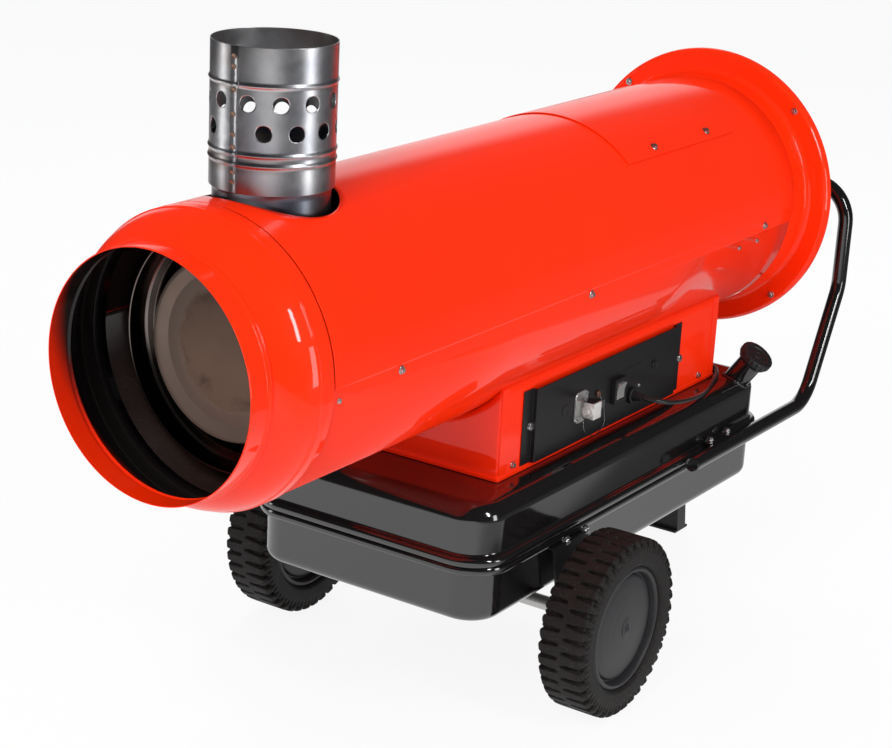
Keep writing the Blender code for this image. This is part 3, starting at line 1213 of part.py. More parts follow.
PIN_LENGTH = 0.019
PIN_SPACING = 0.019
PLUG_SHARES = ((0.33, 0.25), (0.80, 0.40), (1.0, 0.50), (1.0, 1.0))


def smooth_route(points, spacing, fine=12):
    """A smooth curve through the points, read again at an even spacing."""
    points = [Vector(point) for point in points]
    ends = [2 * points[0] - points[1]] + points + [2 * points[-1] - points[-2]]
    curve = []
    for a, b, c, d in zip(ends, ends[1:], ends[2:], ends[3:]):
        for step in range(fine):
            t = step / fine
            curve.append(0.5 * (2 * b + (c - a) * t + (2 * a - 5 * b + 4 * c - d) * t * t
                                + (3 * b - a - 3 * c + d) * t * t * t))
    curve.append(points[-1])
    total = sum((q - p).length for p, q in zip(curve, curve[1:]))
    count = max(2, round(total / spacing))
    even, walked, target = [curve[0]], 0.0, total / count
    for p, q in zip(curve, curve[1:]):
        step = (q - p).length
        while walked + step >= target * len(even) and len(even) < count:
            even.append(p.lerp(q, (target * len(even) - walked) / step))
        walked += step
    return even + [points[-1]]


def coil_path(start):
    """Loops that spiral in on the floor, climb a layer over a share of a turn and spiral out above."""
    pitch = CORD_DIAMETER + COIL_GAP
    centre = start - Vector((COIL_RADIUS, 0, 0))
    path = [start - Vector((0, CORD_DIAMETER, 0))]
    turns = 2 * COIL_TURNS
    count = round(turns * COIL_POINTS)
    for index in range(count + 1):
        turn = turns * index / count
        inward = min(turn, COIL_TURNS)
        outward = max(0.0, turn - COIL_TURNS)
        climb = min(max((turn - COIL_TURNS) / COIL_CLIMB + 0.5, 0.0), 1.0)
        radius = COIL_RADIUS - pitch * (inward - outward)
        lift = pitch * climb * climb * (3 - 2 * climb)
        angle = 2 * pi * turn
        path.append(centre + Vector((radius * cos(angle), radius * sin(angle), lift)))
    rise = PLUG_DIAMETER / 2 - path[-1].z
    path.append(path[-1] + Vector((0, -COIL_TAIL * 0.5, rise * 0.6)))
    path.append(path[-1] + Vector((0, -COIL_TAIL * 0.3, rise * 0.4)))
    path.append(path[-1] + Vector((0, -CORD_DIAMETER, 0)))
    return path


def power_cord():
    radius = CORD_DIAMETER / 2
    # The part above the tank's top keeps up with the gland
    exit_reach, exit_height = CORD_ROUTE[0][1:]
    floor = TANK_TOP + CORD_DIAMETER / 2
    slide = GLAND_REACH - exit_reach
    route = [Vector((x, at(y + slide * min(max((z - floor) / (exit_height - floor), 0.0), 1.0)), z))
             for x, y, z in CORD_ROUTE]
    tube("power_cord", smooth_route(route, CORD_SPACING * CORD_DIAMETER), radius, CABLE)
    start = route[-1] + Vector((0, CORD_DIAMETER + CLEARANCE, 0))
    path = coil_path(start)
    pairs = [(i, j) for i in range(len(path)) for j in range(i + COIL_POINTS // 2, len(path))]
    apart = min((path[i] - path[j]).length for i, j in pairs)
    length = sum((b - a).length for line in (route, path) for a, b in zip(line, line[1:]))
    print("coil: least gap to itself %.2f mm, cord %.3f m long" % ((apart - CORD_DIAMETER) * 1000, length))
    tube("cord_coil", path, radius, CABLE, sides=1)

    # The plug lies on the floor beside the coil, with its pins away from the cord
    face = path[-1] - Vector((0, CLEARANCE, 0))
    body = PLUG_DIAMETER / 2
    end = PLUG_LENGTH
    section = [(0, 0), (radius + CLEARANCE * 4, 0)] + [(body * r, end * h) for r,
                                                       h in PLUG_SHARES] + [(0, end)]
    plug = turned("power_plug", [(r, -h) for r, h in section], face, "Y", PLASTIC, steps=SMALL_STEPS,
                  ring=False)
    for way in (-1, 1):
        spot = face + Vector((way * PIN_SPACING / 2, -end - PIN_LENGTH / 2 + PIN_DIAMETER / 2, 0))
        join(plug, drum("plug_pin", PIN_DIAMETER / 2, PIN_LENGTH + PIN_DIAMETER, spot, steps=PIN_STEPS))


start_sections = (casing, inlet_guard, flue, heat_exchanger, burner, control_box, control_panel, fuel_tank,
                  running_gear, rear_foot, handle, fuel_and_control, power_cord)
for section_of_heater in start_sections:
    section_of_heater()
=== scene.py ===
"""Looks of the indirect fired heater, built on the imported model.

Metres, +Z up, the same frame as the solids: the barrel lies along Y with its outlet
facing -Y, and the control panel faces +X. Places along the barrel are measured from
the outlet's rim.
"""
from math import cos, pi, radians, sin

import bmesh
import bpy
import numpy as np
from mathutils import Matrix, Vector


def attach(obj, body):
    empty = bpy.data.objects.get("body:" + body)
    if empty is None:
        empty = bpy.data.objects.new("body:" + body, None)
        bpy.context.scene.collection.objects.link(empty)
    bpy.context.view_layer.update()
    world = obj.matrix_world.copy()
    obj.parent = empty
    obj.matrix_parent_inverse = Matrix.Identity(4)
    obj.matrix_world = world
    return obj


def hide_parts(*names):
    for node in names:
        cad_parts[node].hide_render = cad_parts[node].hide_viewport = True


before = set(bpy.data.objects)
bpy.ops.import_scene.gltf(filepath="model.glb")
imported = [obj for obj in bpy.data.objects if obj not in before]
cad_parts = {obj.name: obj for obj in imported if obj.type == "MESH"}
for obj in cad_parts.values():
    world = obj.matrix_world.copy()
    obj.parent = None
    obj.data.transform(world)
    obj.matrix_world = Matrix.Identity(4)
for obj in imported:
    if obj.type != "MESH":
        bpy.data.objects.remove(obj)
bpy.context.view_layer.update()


# Studio: a pale floor and a white backdrop as wide as a roll of paper, in an otherwise dark room,
# with three soft lamps and a lit card on each side. Rays from the camera see white everywhere.
# The camera stands where the photographer stood, a little above the heater and to its right.
class Value:
    """A shader socket that Python can add, subtract, multiply, divide and raise."""

    def __init__(self, finish, socket):
        self.finish = finish
        self.socket = socket


for sign, operation in (("add", "ADD"), ("sub", "SUBTRACT"), ("mul", "MULTIPLY"), ("truediv", "DIVIDE"),
                        ("pow", "POWER")):
    setattr(Value, "__%s__" % sign, lambda own, other, work=operation: own.finish.maths(work, own, other))
    setattr(Value, "__r%s__" % sign, lambda own, other, work=operation: own.finish.maths(work, other, own))


class Finish:
    """A material: constants go on its shader's own sockets, and node() adds anything else."""

    def __init__(self, name, tree=None, **constants):
        if tree is None:
            self.material = bpy.data.materials.new(name)
            self.material.use_nodes = True
            tree = self.material.node_tree
            self.shader = tree.nodes["Principled BSDF"]
        self.tree = tree
        for key, value in constants.items():
            self.feed(self.shader.inputs[key.replace("_", " ")], value)

    def feed(self, socket, value):
        """Link a socket to a value, or set its number or colour."""
        if isinstance(value, Value):
            self.tree.links.new(value.socket, socket)
        elif socket.type == "RGBA" and len(value) == 3:
            socket.default_value = (*value, 1.0)
        else:
            socket.default_value = value

    def node(self, kind, settings=None, inputs=None, output=0):
        """Add a node, its settings first and then its sockets, and give one of its outputs."""
        node = self.tree.nodes.new("ShaderNode" + kind)
        for key, value in (settings or {}).items():
            setattr(node, key, value)
        for key, value in (inputs or {}).items():
            self.feed(node.inputs[key], value)
        return Value(self, node.outputs[output])

    def maths(self, operation, *terms):
        """One Math node over values and numbers."""
        return self.node("Math", {"operation": operation}, dict(enumerate(terms)))

    def place(self, axis=None, stretch=(1, 1, 1), shift=(0, 0, 0)):
        """The piece's own coordinates, moved and stretched, or one of the three numbers."""
        spot = self.node("TexCoord", output=3)
        if stretch != (1, 1, 1) or shift != (0, 0, 0):
            spot = self.node("Mapping", None, {"Vector": spot, "Location": shift, "Scale": stretch})
        return spot if axis is None else self.node("SeparateXYZ", None, {0: spot}, output="XYZ".index(axis))

    def noise(self, scale, detail=3.0, rough=0.55, spot=None):
        """Noise from 0 to 1 with so many lumps a metre."""
        return self.node("TexNoise", None, {"Vector": spot or self.place(), "Scale": scale,
                                            "Detail": detail, "Roughness": rough})

    def between(self, value, low, high):
        """A soft step: 0 where the value is under low, 1 where it is over high."""
        return self.node("MapRange", {"interpolation_type": "SMOOTHSTEP"}, {0: value, 1: low, 2: high})

    def blend(self, share, first, second):
        """Mix two colours by a share from 0 to 1."""
        return self.node("Mix", {"data_type": "RGBA"}, {0: share, 6: first, 7: second}, output=2)

    def relief(self, height, depth, strength=1.0):
        """A bump whose height runs over a depth in metres."""
        return self.node("Bump", None, {"Height": height, "Distance": depth, "Strength": strength})

    def rays(self):
        """Whether a ray comes from the camera, off a glossy surface, or through a clear one."""
        return [self.node("LightPath", output=index) for index in (0, 3, 6)]

    def wear(self, **links):
        """Lead varying values to the shader's sockets, and give the material."""
        for key, value in links.items():
            self.feed(self.shader.inputs[key.replace("_", " ")], value)
        return self.material


def studio():
    """World, floor, lamps and camera."""
    scene = bpy.context.scene
    scene.view_settings.view_transform = "Standard"
    world = bpy.data.worlds.new("studio_surround")
    world.use_nodes = True
    scene.world = world
    sky = Finish("sky", world.node_tree)
    back = world.node_tree.nodes["Background"]
    parts = [sky.node("SeparateXYZ", None, {0: sky.node("TexCoord", output=0)}, output=part) for part in range(3)]
    from_camera, off_gloss, through = sky.rays()
    turn = radians(33.97135)
    ahead = parts[1] * cos(turn) - parts[0] * sin(turn)
    aside = sky.maths("ABSOLUTE", parts[0] * cos(turn) + parts[1] * sin(turn))
    paper = sky.between(ahead - aside * 2.4, -0.1, 0.12) * (1 - sky.between(parts[2], 0.28, 0.44))
    glossy = sky.blend(paper, (0.03, 0.03, 0.031), (1.0, 1.0, 1.0))
    plain = sky.blend(sky.maths("MAXIMUM", off_gloss, through), (0.6, 0.61, 0.63), glossy)
    sky.feed(back.inputs["Color"], sky.blend(from_camera, plain, (1.0, 1.0, 1.0)))

    white = Finish("floor_paper", Roughness=0.9, Base_Color=(0.84, 0.84, 0.84))
    from_camera, off_gloss, through = white.rays()
    aside = white.place("X") * cos(turn) + white.place("Y") * sin(turn)
    paper = (1 - white.between(aside, 0.97, 1.04)) * white.between(aside, -2.1, -2.0)
    paper = paper * (1 - white.between(aside, 0.05, 0.85) * 0.55)
    paper = white.maths("MAXIMUM", from_camera, paper)
    glow = white.node("Emission", None, {"Color": white.blend(paper, (0.02, 0.02, 0.02), (1.0, 1.0, 1.0)),
                                         "Strength": 1.0})
    share = 0.9 * white.maths("MAXIMUM", from_camera, white.maths("MAXIMUM", off_gloss, through))
    out = white.tree.nodes["Material Output"]
    mixed = white.node("MixShader", None, {0: share, 1: Value(white, white.shader.outputs[0]), 2: glow})
    white.feed(out.inputs["Surface"], mixed)
    half = 14.0
    sheet = bpy.data.meshes.new("floor")
    sheet.from_pydata([(-half, -half, -0.0004), (half, -half, -0.0004), (half, half, -0.0004), (-half, half, -0.0004)],
                      [], [(0, 1, 2, 3)])
    sheet.materials.append(white.material)
    floor = bpy.data.objects.new("floor", sheet)
    scene.collection.objects.link(floor)

    aim = Vector((0.0, 0.0, 0.45))
    for name, place, size, power, mirrored in (("key_lamp", (0.4, -3.0, 2.7), (1.8, 1.4), 70.0, False),
                                               ("side_lamp", (3.1, -0.6, 2.2), (0.35, 1.3), 36.0, True),
                                               ("back_lamp", (-1.6, 2.6, 2.8), (1.6, 0.8), 44.0, False),
                                               ("right_card", (2.5, 0.2, 0.55), (0.45, 1.1), 10.0, True),
                                               ("left_card", (-2.3, -1.7, 0.6), (0.4, 1.2), 6.0, True)):
        lamp = bpy.data.lights.new(name, "AREA")
        lamp.shape = "RECTANGLE"
        lamp.size, lamp.size_y = size
        lamp.energy = power
        item = bpy.data.objects.new(name, lamp)
        item.visible_glossy = mirrored
        item.location = place
        item.rotation_euler = (aim - Vector(place)).to_track_quat("-Z", "Y").to_euler()
        scene.collection.objects.link(item)

    focal, wide, offset = 2146.6255, 892, (-29.0095, 45.7916)
    dip, roll = radians(-19.30009), radians(2.71084)
    ahead = Vector((-sin(turn) * cos(dip), cos(turn) * cos(dip), sin(dip)))
    right = Vector((cos(turn), sin(turn), 0))
    above = right.cross(ahead)
    right, above = cos(roll) * right + sin(roll) * above, cos(roll) * above - sin(roll) * right
    lens = bpy.data.cameras.new("camera")
    lens.sensor_width = 36.0
    lens.lens = focal * lens.sensor_width / wide
    lens.shift_x, lens.shift_y = -offset[0] / wide, offset[1] / wide
    camera = bpy.data.objects.new("camera", lens)
    camera.matrix_world = Matrix((right, above, -ahead)).transposed().to_4x4()
    camera.location = (1.5197, -2.4276, 1.3273)
    scene.collection.objects.link(camera)
    scene.camera = camera


studio()


# Fuel tank: two deep-drawn steel halves whose flanges meet in a lip with two beads, welded
# all round and enamelled gloss black. A filler neck leans out of the rear right corner.
FRONT = -0.716
TANK_MIDDLE = FRONT + 0.825
TANK_HALVES = (0.188, 0.395)
TANK_FOOT, TANK_SEAM, TANK_TOP = 0.16, 0.2425, 0.324


def at(reach):
    """World Y of a place measured along the barrel from the outlet's rim."""
    return FRONT + reach


def cells(rows, columns, around):
    """Four-point faces over a grid numbered row by row. Around joins the last column to the first."""
    row = np.arange(rows - 1)[:, None]
    column = np.arange(columns if around else columns - 1)[None, :]
    after = (column + 1) % columns
    return np.stack([row * columns + column, row * columns + after, (row + 1) * columns + after,
                     (row + 1) * columns + column], -1).reshape(-1, 4)


def piece(name, grids, finish, *nodes, body="heater", around=True, **shaping):
    """A mesh over one grid of points (rows, columns, 3) or a list of them, with its doubles
    merged and its faces pointing out. It rides on a body and stands for the CAD nodes named."""
    grids = grids if isinstance(grids, list) else [grids]
    points, faces, start = [], [], 0
    for grid in grids:
        rows, columns = grid.shape[:2]
        points.append(grid.reshape(-1, 3))
        faces.append(cells(rows, columns, around) + start)
        start += rows * columns
    mesh = bpy.data.meshes.new(name)
    mesh.from_pydata(np.concatenate(points), [], np.concatenate(faces))
    shape = bmesh.new()
    shape.from_mesh(mesh)
    bmesh.ops.remove_doubles(shape, verts=shape.verts, dist=1e-6)
    bmesh.ops.dissolve_degenerate(shape, edges=shape.edges, dist=1e-7)
    bmesh.ops.recalc_face_normals(shape, faces=shape.faces)
    shape.to_mesh(mesh)
    shape.free()
    return finished(name, mesh, finish, nodes, body, **shaping)


def finished(name, mesh, finish, nodes, body, wall=0.0, edge=0.0, angle=35, inner=None):
    """Put a mesh in the scene with its finish, its wall and rounded edges, on its body."""
    mesh.shade_smooth()
    mesh.set_sharp_from_angle(angle=radians(angle))
    mesh.materials.append(finish)
    item = bpy.data.objects.new(name, mesh)
    bpy.context.scene.collection.objects.link(item)
    if wall:
        shell = item.modifiers.new("wall", "SOLIDIFY")
        shell.thickness = wall
        shell.offset = -1.0
        shell.use_even_offset = True
        if inner:
            mesh.materials.append(inner)
            shell.material_offset = 1
    if edge:
        rounding = item.modifiers.new("rounding", "BEVEL")
        rounding.width = edge
        rounding.segments = 2
        rounding.limit_method = "ANGLE"
        rounding.angle_limit = radians(40)
        rounding.harden_normals = True
    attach(item, body)
    if nodes:
        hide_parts(*nodes)
    return item


def outline(halves, corner, inset, steps=10):
    """Rectangles with round corners, one for each inset: a quarter circle round each corner's
    centre, as points (insets, columns, 2) counter-clockwise."""
    inset = np.atleast_1d(np.asarray(inset, float))[:, None, None]
    bend = np.maximum(corner - inset, 0.0003)
    turn = np.arange(4)[:, None] * pi / 2 + np.linspace(0, pi / 2, steps + 1)
    way = np.array([[1, -1, -1, 1], [1, 1, -1, -1]])[:, :, None]
    ring = [way[side] * (halves[side] - inset - bend) + bend * wave(turn)
            for side, wave in enumerate((np.cos, np.sin))]
    return np.stack(ring, -1).reshape(len(inset), -1, 2)


def closed(grid):
    """Draw a grid's first and last rows together at their middles, which closes its ends."""
    ends = [np.repeat(grid[row].mean(0)[None, None], grid.shape[1], 1) for row in (0, -1)]
    return np.concatenate([ends[0], grid, ends[1]])


def stacked(halves, corner, levels, place=(0, 0, 0), axes="XYZ", steps=10):
    """Round-cornered rectangles at (height, inset) levels, along the axes named, with closed ends."""
    levels = np.asarray(levels, float)
    flat = outline(halves, corner, levels[:, 1], steps)
    height = np.repeat(levels[:, :1], flat.shape[1], 1)[..., None]
    grid = np.concatenate([flat, height], -1)[..., [axes.index(axis) for axis in "XYZ"]]
    return closed(grid + np.asarray(place, float))


def arc_levels(height, radius, sign, steps):
    """Levels round an edge: a quarter circle that turns from a wall into a flat top or foot."""
    turn = np.linspace(0, pi / 2, steps + 1)
    return np.stack([height - sign * radius * (1 - np.sin(turn)), radius * (1 - np.cos(turn))], 1)


gloss_black = Finish("gloss_black_enamel", Coat_Roughness=0.03, IOR=1.78)
film = gloss_black.noise(5.0)
peel = gloss_black.noise(420.0, 2.0)
dust = gloss_black.between(gloss_black.noise(900.0, 2.0), 0.7, 0.8)
black_enamel = gloss_black.wear(
    Base_Color=gloss_black.blend(dust * 0.25, (0.0065, 0.006, 0.006), (0.06, 0.058, 0.055)),
    Roughness=0.06 + film * 0.08 + dust * 0.3, Coat_Weight=0.25,
    Normal=gloss_black.relief(peel, 0.00012, 0.25))

EDGE_TOP, EDGE_FOOT, LIP = 0.024, 0.016, 0.01
lip = (1, -LIP) * np.array([
    (0.0003, 0.72), (0.001, 0.9), (0.0026, 1.0), (0.0074, 1.0), (0.0098, 0.93), (0.0116, 0.72),
    (0.0126, 0.4), (0.0131, 0.16), (0.0142, 0.04), (0.016, 0.0)])
crown = [lip + (TANK_SEAM, 0), arc_levels(TANK_TOP, EDGE_TOP, 1, 10),
         [(TANK_TOP, EDGE_TOP + 0.006), (TANK_TOP - 0.0002, EDGE_TOP + 0.012)]]
trough = [[(TANK_FOOT, EDGE_FOOT + 0.01)], arc_levels(TANK_FOOT, EDGE_FOOT, -1, 8)[::-1],
          (lip * (-1, 1) + (TANK_SEAM, 0))[::-1]]
for name, node, levels in (("tank_top_half", "tank_upper", crown), ("tank_bottom_half", "tank_lower", trough)):
    piece(name, stacked(TANK_HALVES, 0.05, np.concatenate(levels), (0, TANK_MIDDLE, 0), steps=14), black_enamel, node)


def rounded(line, bend, steps=5):
    """A line of points whose corners are round: each corner becomes a circle's arc of the bend's
    radius that touches both runs, or a smaller one where a run is short."""
    line = [np.asarray(point, float) for point in line]
    bends = bend if isinstance(bend, (list, tuple)) else [bend] * (len(line) - 2)
    points = [line[0]]
    share = np.linspace(0, 1, steps + 1)[:, None]
    for before, corner, after, radius in zip(line, line[1:], line[2:], bends):
        back, ahead = before - corner, after - corner
        runs = np.linalg.norm(back), np.linalg.norm(ahead)
        back, ahead = back / runs[0], ahead / runs[1]
        half = np.arccos(np.clip(back @ ahead, -1, 1)) / 2
        if half > 1.55:
            points.append(corner)
            continue
        run = min(radius / np.tan(half), 0.49 * min(runs))
        middle = corner + (back + ahead) / np.linalg.norm(back + ahead) * run / cos(half)
        start, end, swing = corner + back * run - middle, corner + ahead * run - middle, pi - 2 * half
        points += list(middle + (np.sin((1 - share) * swing) * start + np.sin(share * swing) * end) / sin(swing))
    return np.array(points + [line[-1]])


def axes_for(direction):
    """Three unit vectors, the last along a direction."""
    along = np.asarray(direction, float) / np.linalg.norm(direction)
    side = np.cross(along, (0, 1, 0) if abs(along[1]) < 0.9 else (0, 0, 1))
    side /= np.linalg.norm(side)
    return side, np.cross(along, side), along


def turned(profile, place, axis=(0, 1, 0), steps=96, squares=0, ring=False):
    """A profile of (radius, distance along the axis) carried round an axis. Where squares is set,
    the radius swells to a polygon with so many sides, as on a nut."""
    profile = np.asarray(profile, float)
    if ring:
        profile = np.concatenate([profile, profile[:1]])
    turn = np.arange(steps) * 2 * pi / steps
    side, up, along = axes_for(axis)
    radius = profile[:, :1]
    if squares:
        part = 2 * pi / squares
        radius = radius * (cos(part / 2) / np.cos((turn % part) - part / 2))[None, :]
    else:
        radius = np.repeat(radius, steps, 1)
    return (np.asarray(place, float) + radius[..., None] * (np.cos(turn)[:, None] * side + np.sin(turn)[:, None] * up)
            + profile[:, 1:, None] * along)


neck_lean = radians(35)
neck_axis = np.array((sin(neck_lean), 0, cos(neck_lean)))
neck_foot = np.array((0.168, at(1.165), 0.318))
piece("filler_pipe", turned([(0.0175, -0.02), (0.019, -0.02), (0.019, 0.05), (0.0175, 0.05)], neck_foot, neck_axis,
                            48, ring=True), black_enamel, "filler_neck")


def weld_bead(name, ring, radius, finish, ripples):
    """A weld along a closed line of points: a round bead whose radius swells with each ripple."""
    count = len(ring)
    ahead = np.roll(ring, -1, 0) - np.roll(ring, 1, 0)
    ahead /= np.linalg.norm(ahead, axis=1)[:, None]
    out = ring - ring.mean(0)
    out -= (out * ahead).sum(1)[:, None] * ahead
    out /= np.linalg.norm(out, axis=1)[:, None]
    up = np.cross(ahead, out)
    swell = radius * (1 + 0.22 * np.sin(np.arange(count) * 2 * pi * ripples / count))
    turn = np.linspace(0, 2 * pi, 9)[:-1]
    grid = ring[:, None] + swell[:, None, None] * (np.cos(turn)[None, :, None] * out[:, None]
                                                   + np.sin(turn)[None, :, None] * up[:, None])
    return piece(name, np.concatenate([grid, grid[:1]]), finish, angle=60)


# The neck meets the tank's top where the tank is flat or rounds over its edge.
neck_ring = turned([(0.0195, 0)], neck_foot, neck_axis, 96)[0]
for _ in range(12):
    over = np.clip(neck_ring[:, 0] - (TANK_HALVES[0] - EDGE_TOP), 0, EDGE_TOP)
    skin = TANK_TOP - EDGE_TOP + np.sqrt(EDGE_TOP ** 2 - over ** 2)
    neck_ring = neck_ring + ((skin - neck_ring[:, 2]) / neck_axis[2])[:, None] * neck_axis * 0.6
weld_bead("neck_weld", neck_ring, 0.0022, black_enamel, 40)

moulded = Finish("black_moulding", Specular_IOR_Level=0.45)
grain = moulded.noise(1400.0, 2.0)
scuff = moulded.between(moulded.noise(60.0, 6.0, 0.7), 0.6, 0.78)
black_moulding = moulded.wear(
    Base_Color=moulded.blend(scuff * 0.6, (0.011, 0.011, 0.012), (0.035, 0.034, 0.034)),
    Roughness=0.38 + grain * 0.14 + scuff * 0.1, Normal=moulded.relief(grain, 0.00008, 0.5))

CAP_RADIUS, GRIPS = 0.027, 18
cap_line = rounded([(0.0193, 0.0003), (0.0193, -0.008), (0.0235, -0.008), (0.0252, -0.004), (CAP_RADIUS, -0.002),
                    (CAP_RADIUS, 0.006), (0.0255, 0.008), (0.017, 0.008), (0.0158, 0.0064), (0.009, 0.0064),
                    (0.0082, 0.0072), (0.006, 0.0072), (0.005, 0.0064)], 0.0009, 3)
cap_line = np.concatenate([[(0, 0.0003)], cap_line, [(0, 0.0064)]])
cap_grid = turned(cap_line, neck_foot + 0.05 * neck_axis, neck_axis, 144)
side, up, _ = axes_for(neck_axis)
turn = np.arange(144)[:, None] * 2 * pi / 144
rim_share = np.exp(-((cap_line[:, 0] - CAP_RADIUS) / 0.0012) ** 2)[:, None]
knurl = -0.0011 * rim_share * np.maximum(0, np.cos(GRIPS * turn.T)) ** 2
spread = np.cos(turn) * side + np.sin(turn) * up
piece("fuel_filler_cap", cap_grid + knurl[..., None] * spread[None], black_moulding, "filler_cap",
      body="fuel_cap", angle=30)

plated = Finish("bright_zinc", Metallic=1.0)
bloom = plated.noise(180.0, 4.0)
zinc = plated.wear(Base_Color=plated.blend(bloom, (0.5, 0.51, 0.53), (0.74, 0.73, 0.7)),
                   Roughness=0.2 + bloom * 0.22, Normal=plated.relief(plated.noise(700.0), 0.00006, 0.4))


def two_tone(name, low, high, patches, rough, grain=None, lift=None, **constants):
    """A finish between two colours. A coarse noise mixes them; a fine one, or the same where no
    grain is given, adds its share to the roughness and may lift the surface."""
    finish = Finish(name, **constants)
    coarse = finish.noise(*patches)
    fine = finish.noise(*grain) if grain else coarse
    links = {"Normal": finish.relief(fine, *lift)} if lift else {}
    return finish.wear(Base_Color=finish.blend(coarse, low, high), Roughness=rough[0] + fine * rough[1], **links)


def screws(name, spots, across, finish=zinc, sides=6, height=0.45, washer=1.45, socket=True, slot=None):
    """Screw heads at (place, direction) spots: a washer, a polygon or round head and a recess,
    each a profile carried round its own axis. A slot is a recess pulled out to a line."""
    reach = across / 2
    line = [(0, -reach * 0.5), (reach * washer, -reach * 0.5), (reach * washer, reach * 0.16), (reach * washer * 0.93,
            reach * 0.26), (reach * 1.04, reach * 0.28)]
    head = [(reach, reach * 0.28), (reach, reach * 2 * height), (reach * 0.86, reach * 2 * height + reach * 0.18)]
    if socket:
        head += [(reach * 0.42, reach * 2 * height + reach * 0.2), (reach * 0.34, reach * 2 * height - reach * 0.1)]
    head += [(0, head[-1][1])]
    grids = []
    for place, direction in spots:
        base = turned(line, place, direction, 24)
        top = turned(head, place, direction, 24, sides)
        if slot is not None:
            side, up, _ = axes_for(direction)
            line_way, narrow = cos(slot) * side + sin(slot) * up, cos(slot) * up - sin(slot) * side
            offset = top[-3:-1] - np.asarray(place)
            top[-3:-1] += (1.1 * (offset @ line_way)[..., None] * line_way
                           - 0.72 * (offset @ narrow)[..., None] * narrow)
        grids.append(np.concatenate([base, top]))
    return piece(name, grids, finish, angle=28)


piece("drain_bolt", turned([(0, -0.0055), (0.0096, -0.0055), (0.011, -0.0045), (0.011, -0.0003), (0.0075, -0.0003),
                            (0.0075, 0.0055), (0, 0.0055)], (0, at(0.48), TANK_FOOT), (0, 0, 1), 48, 6), zinc,
      "drain_plug", angle=28)


# Running gear: folded steel brackets and a rear foot bolted under the tank's lip, enamelled
# black like the tank, and a plain steel rod for the axle.
def softened(node, finish, width=0.0008, coarse=2.0, body="heater"):
    """A copy of a CAD node's mesh with its triangles joined into flat faces and its edges rounded."""
    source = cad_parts[node].data
    points = np.empty(len(source.vertices) * 3)
    source.vertices.foreach_get("co", points)
    corners = np.empty(len(source.loops), int)
    source.loops.foreach_get("vertex_index", corners)
    mesh = bpy.data.meshes.new(node + "_folded")
    mesh.from_pydata(points.reshape(-1, 3), [], corners.reshape(-1, 3))
    shape = bmesh.new()
    shape.from_mesh(mesh)
    bmesh.ops.remove_doubles(shape, verts=shape.verts, dist=1e-6)
    bmesh.ops.dissolve_limit(shape, angle_limit=radians(coarse), verts=shape.verts, edges=shape.edges)
    shape.to_mesh(mesh)
    shape.free()
    return finished(node + "_formed", mesh, finish, (node,), body, edge=width)


powder_black = two_tone("black_powder_coat", (0.006, 0.006, 0.006), (0.014, 0.013, 0.013), (14, 4), (0.34, 0.12),
                        (900, 2), (0.00008, 0.4), Specular_IOR_Level=0.25)
for node, width in (("axle_bracket_left", 0.0008), ("axle_bracket_right", 0.0008), ("rear_foot", 0.0015)):
    softened(node, powder_black, width)
steel = Finish("turned_steel", Metallic=1.0)
turning = steel.noise(30.0, 4.0, spot=steel.place(stretch=(40, 1, 1)))
bright_steel = steel.wear(Base_Color=steel.blend(turning, (0.36, 0.35, 0.34), (0.58, 0.57, 0.56)),
                          Roughness=0.26 + turning * 0.2)
AXLE_REACH, AXLE_HEIGHT = 0.632, 0.125
piece("axle_rod", turned([(0, -0.2945), (0.0092, -0.2945), (0.01, -0.2937), (0.01, 0.2937), (0.0092, 0.2945),
                          (0, 0.2945)], (0, at(AXLE_REACH), AXLE_HEIGHT), (1, 0, 0), 48), bright_steel, "axle")
BRACKET_BOLTS, FOOT_BOLTS = (AXLE_REACH - 0.01, AXLE_REACH + 0.04), (1.036, 1.09)
lip_bolts = [((side * 0.1975, at(reach), 0.2285), (side * 0.8, 0, -0.6))
             for side in (-1, 1) for reach in BRACKET_BOLTS]
lip_bolts += [((side * 0.1935, at(reach), 0.2285), (0, 0, -1)) for side in (-1, 1) for reach in FOOT_BOLTS]
screws("lip_nuts", lip_bolts, 0.0105, socket=False)
lip_heads = [((side * 0.196, at(reach), 0.2598), (0, 0, 1)) for side in (-1, 1) for reach in FOOT_BOLTS]
screws("lip_bolts", lip_heads, 0.0105, height=0.38, washer=1.25, socket=False)


# Wheels: solid rubber tyres with two rows of wedge lugs each side of a centre rib, on discs
# moulded in dark grey plastic, with a low boss over the axle's end.
WHEEL_OUT, LUGS, LUG_COLUMNS = 0.2645, 40, 18


def evenly(line, count):
    """Points at even distances along a line of points."""
    run = np.concatenate([[0], np.cumsum(np.linalg.norm(np.diff(line, axis=0), axis=1))])
    share = np.linspace(0, run[-1], count)
    return np.stack([np.interp(share, run, line[:, part]) for part in range(line.shape[1])], 1)


def eased(value, low, high):
    """A step that eases from 0 at low to 1 at high."""
    share = np.clip((value - low) / (high - low), 0, 1)
    return share * share * (3 - 2 * share)


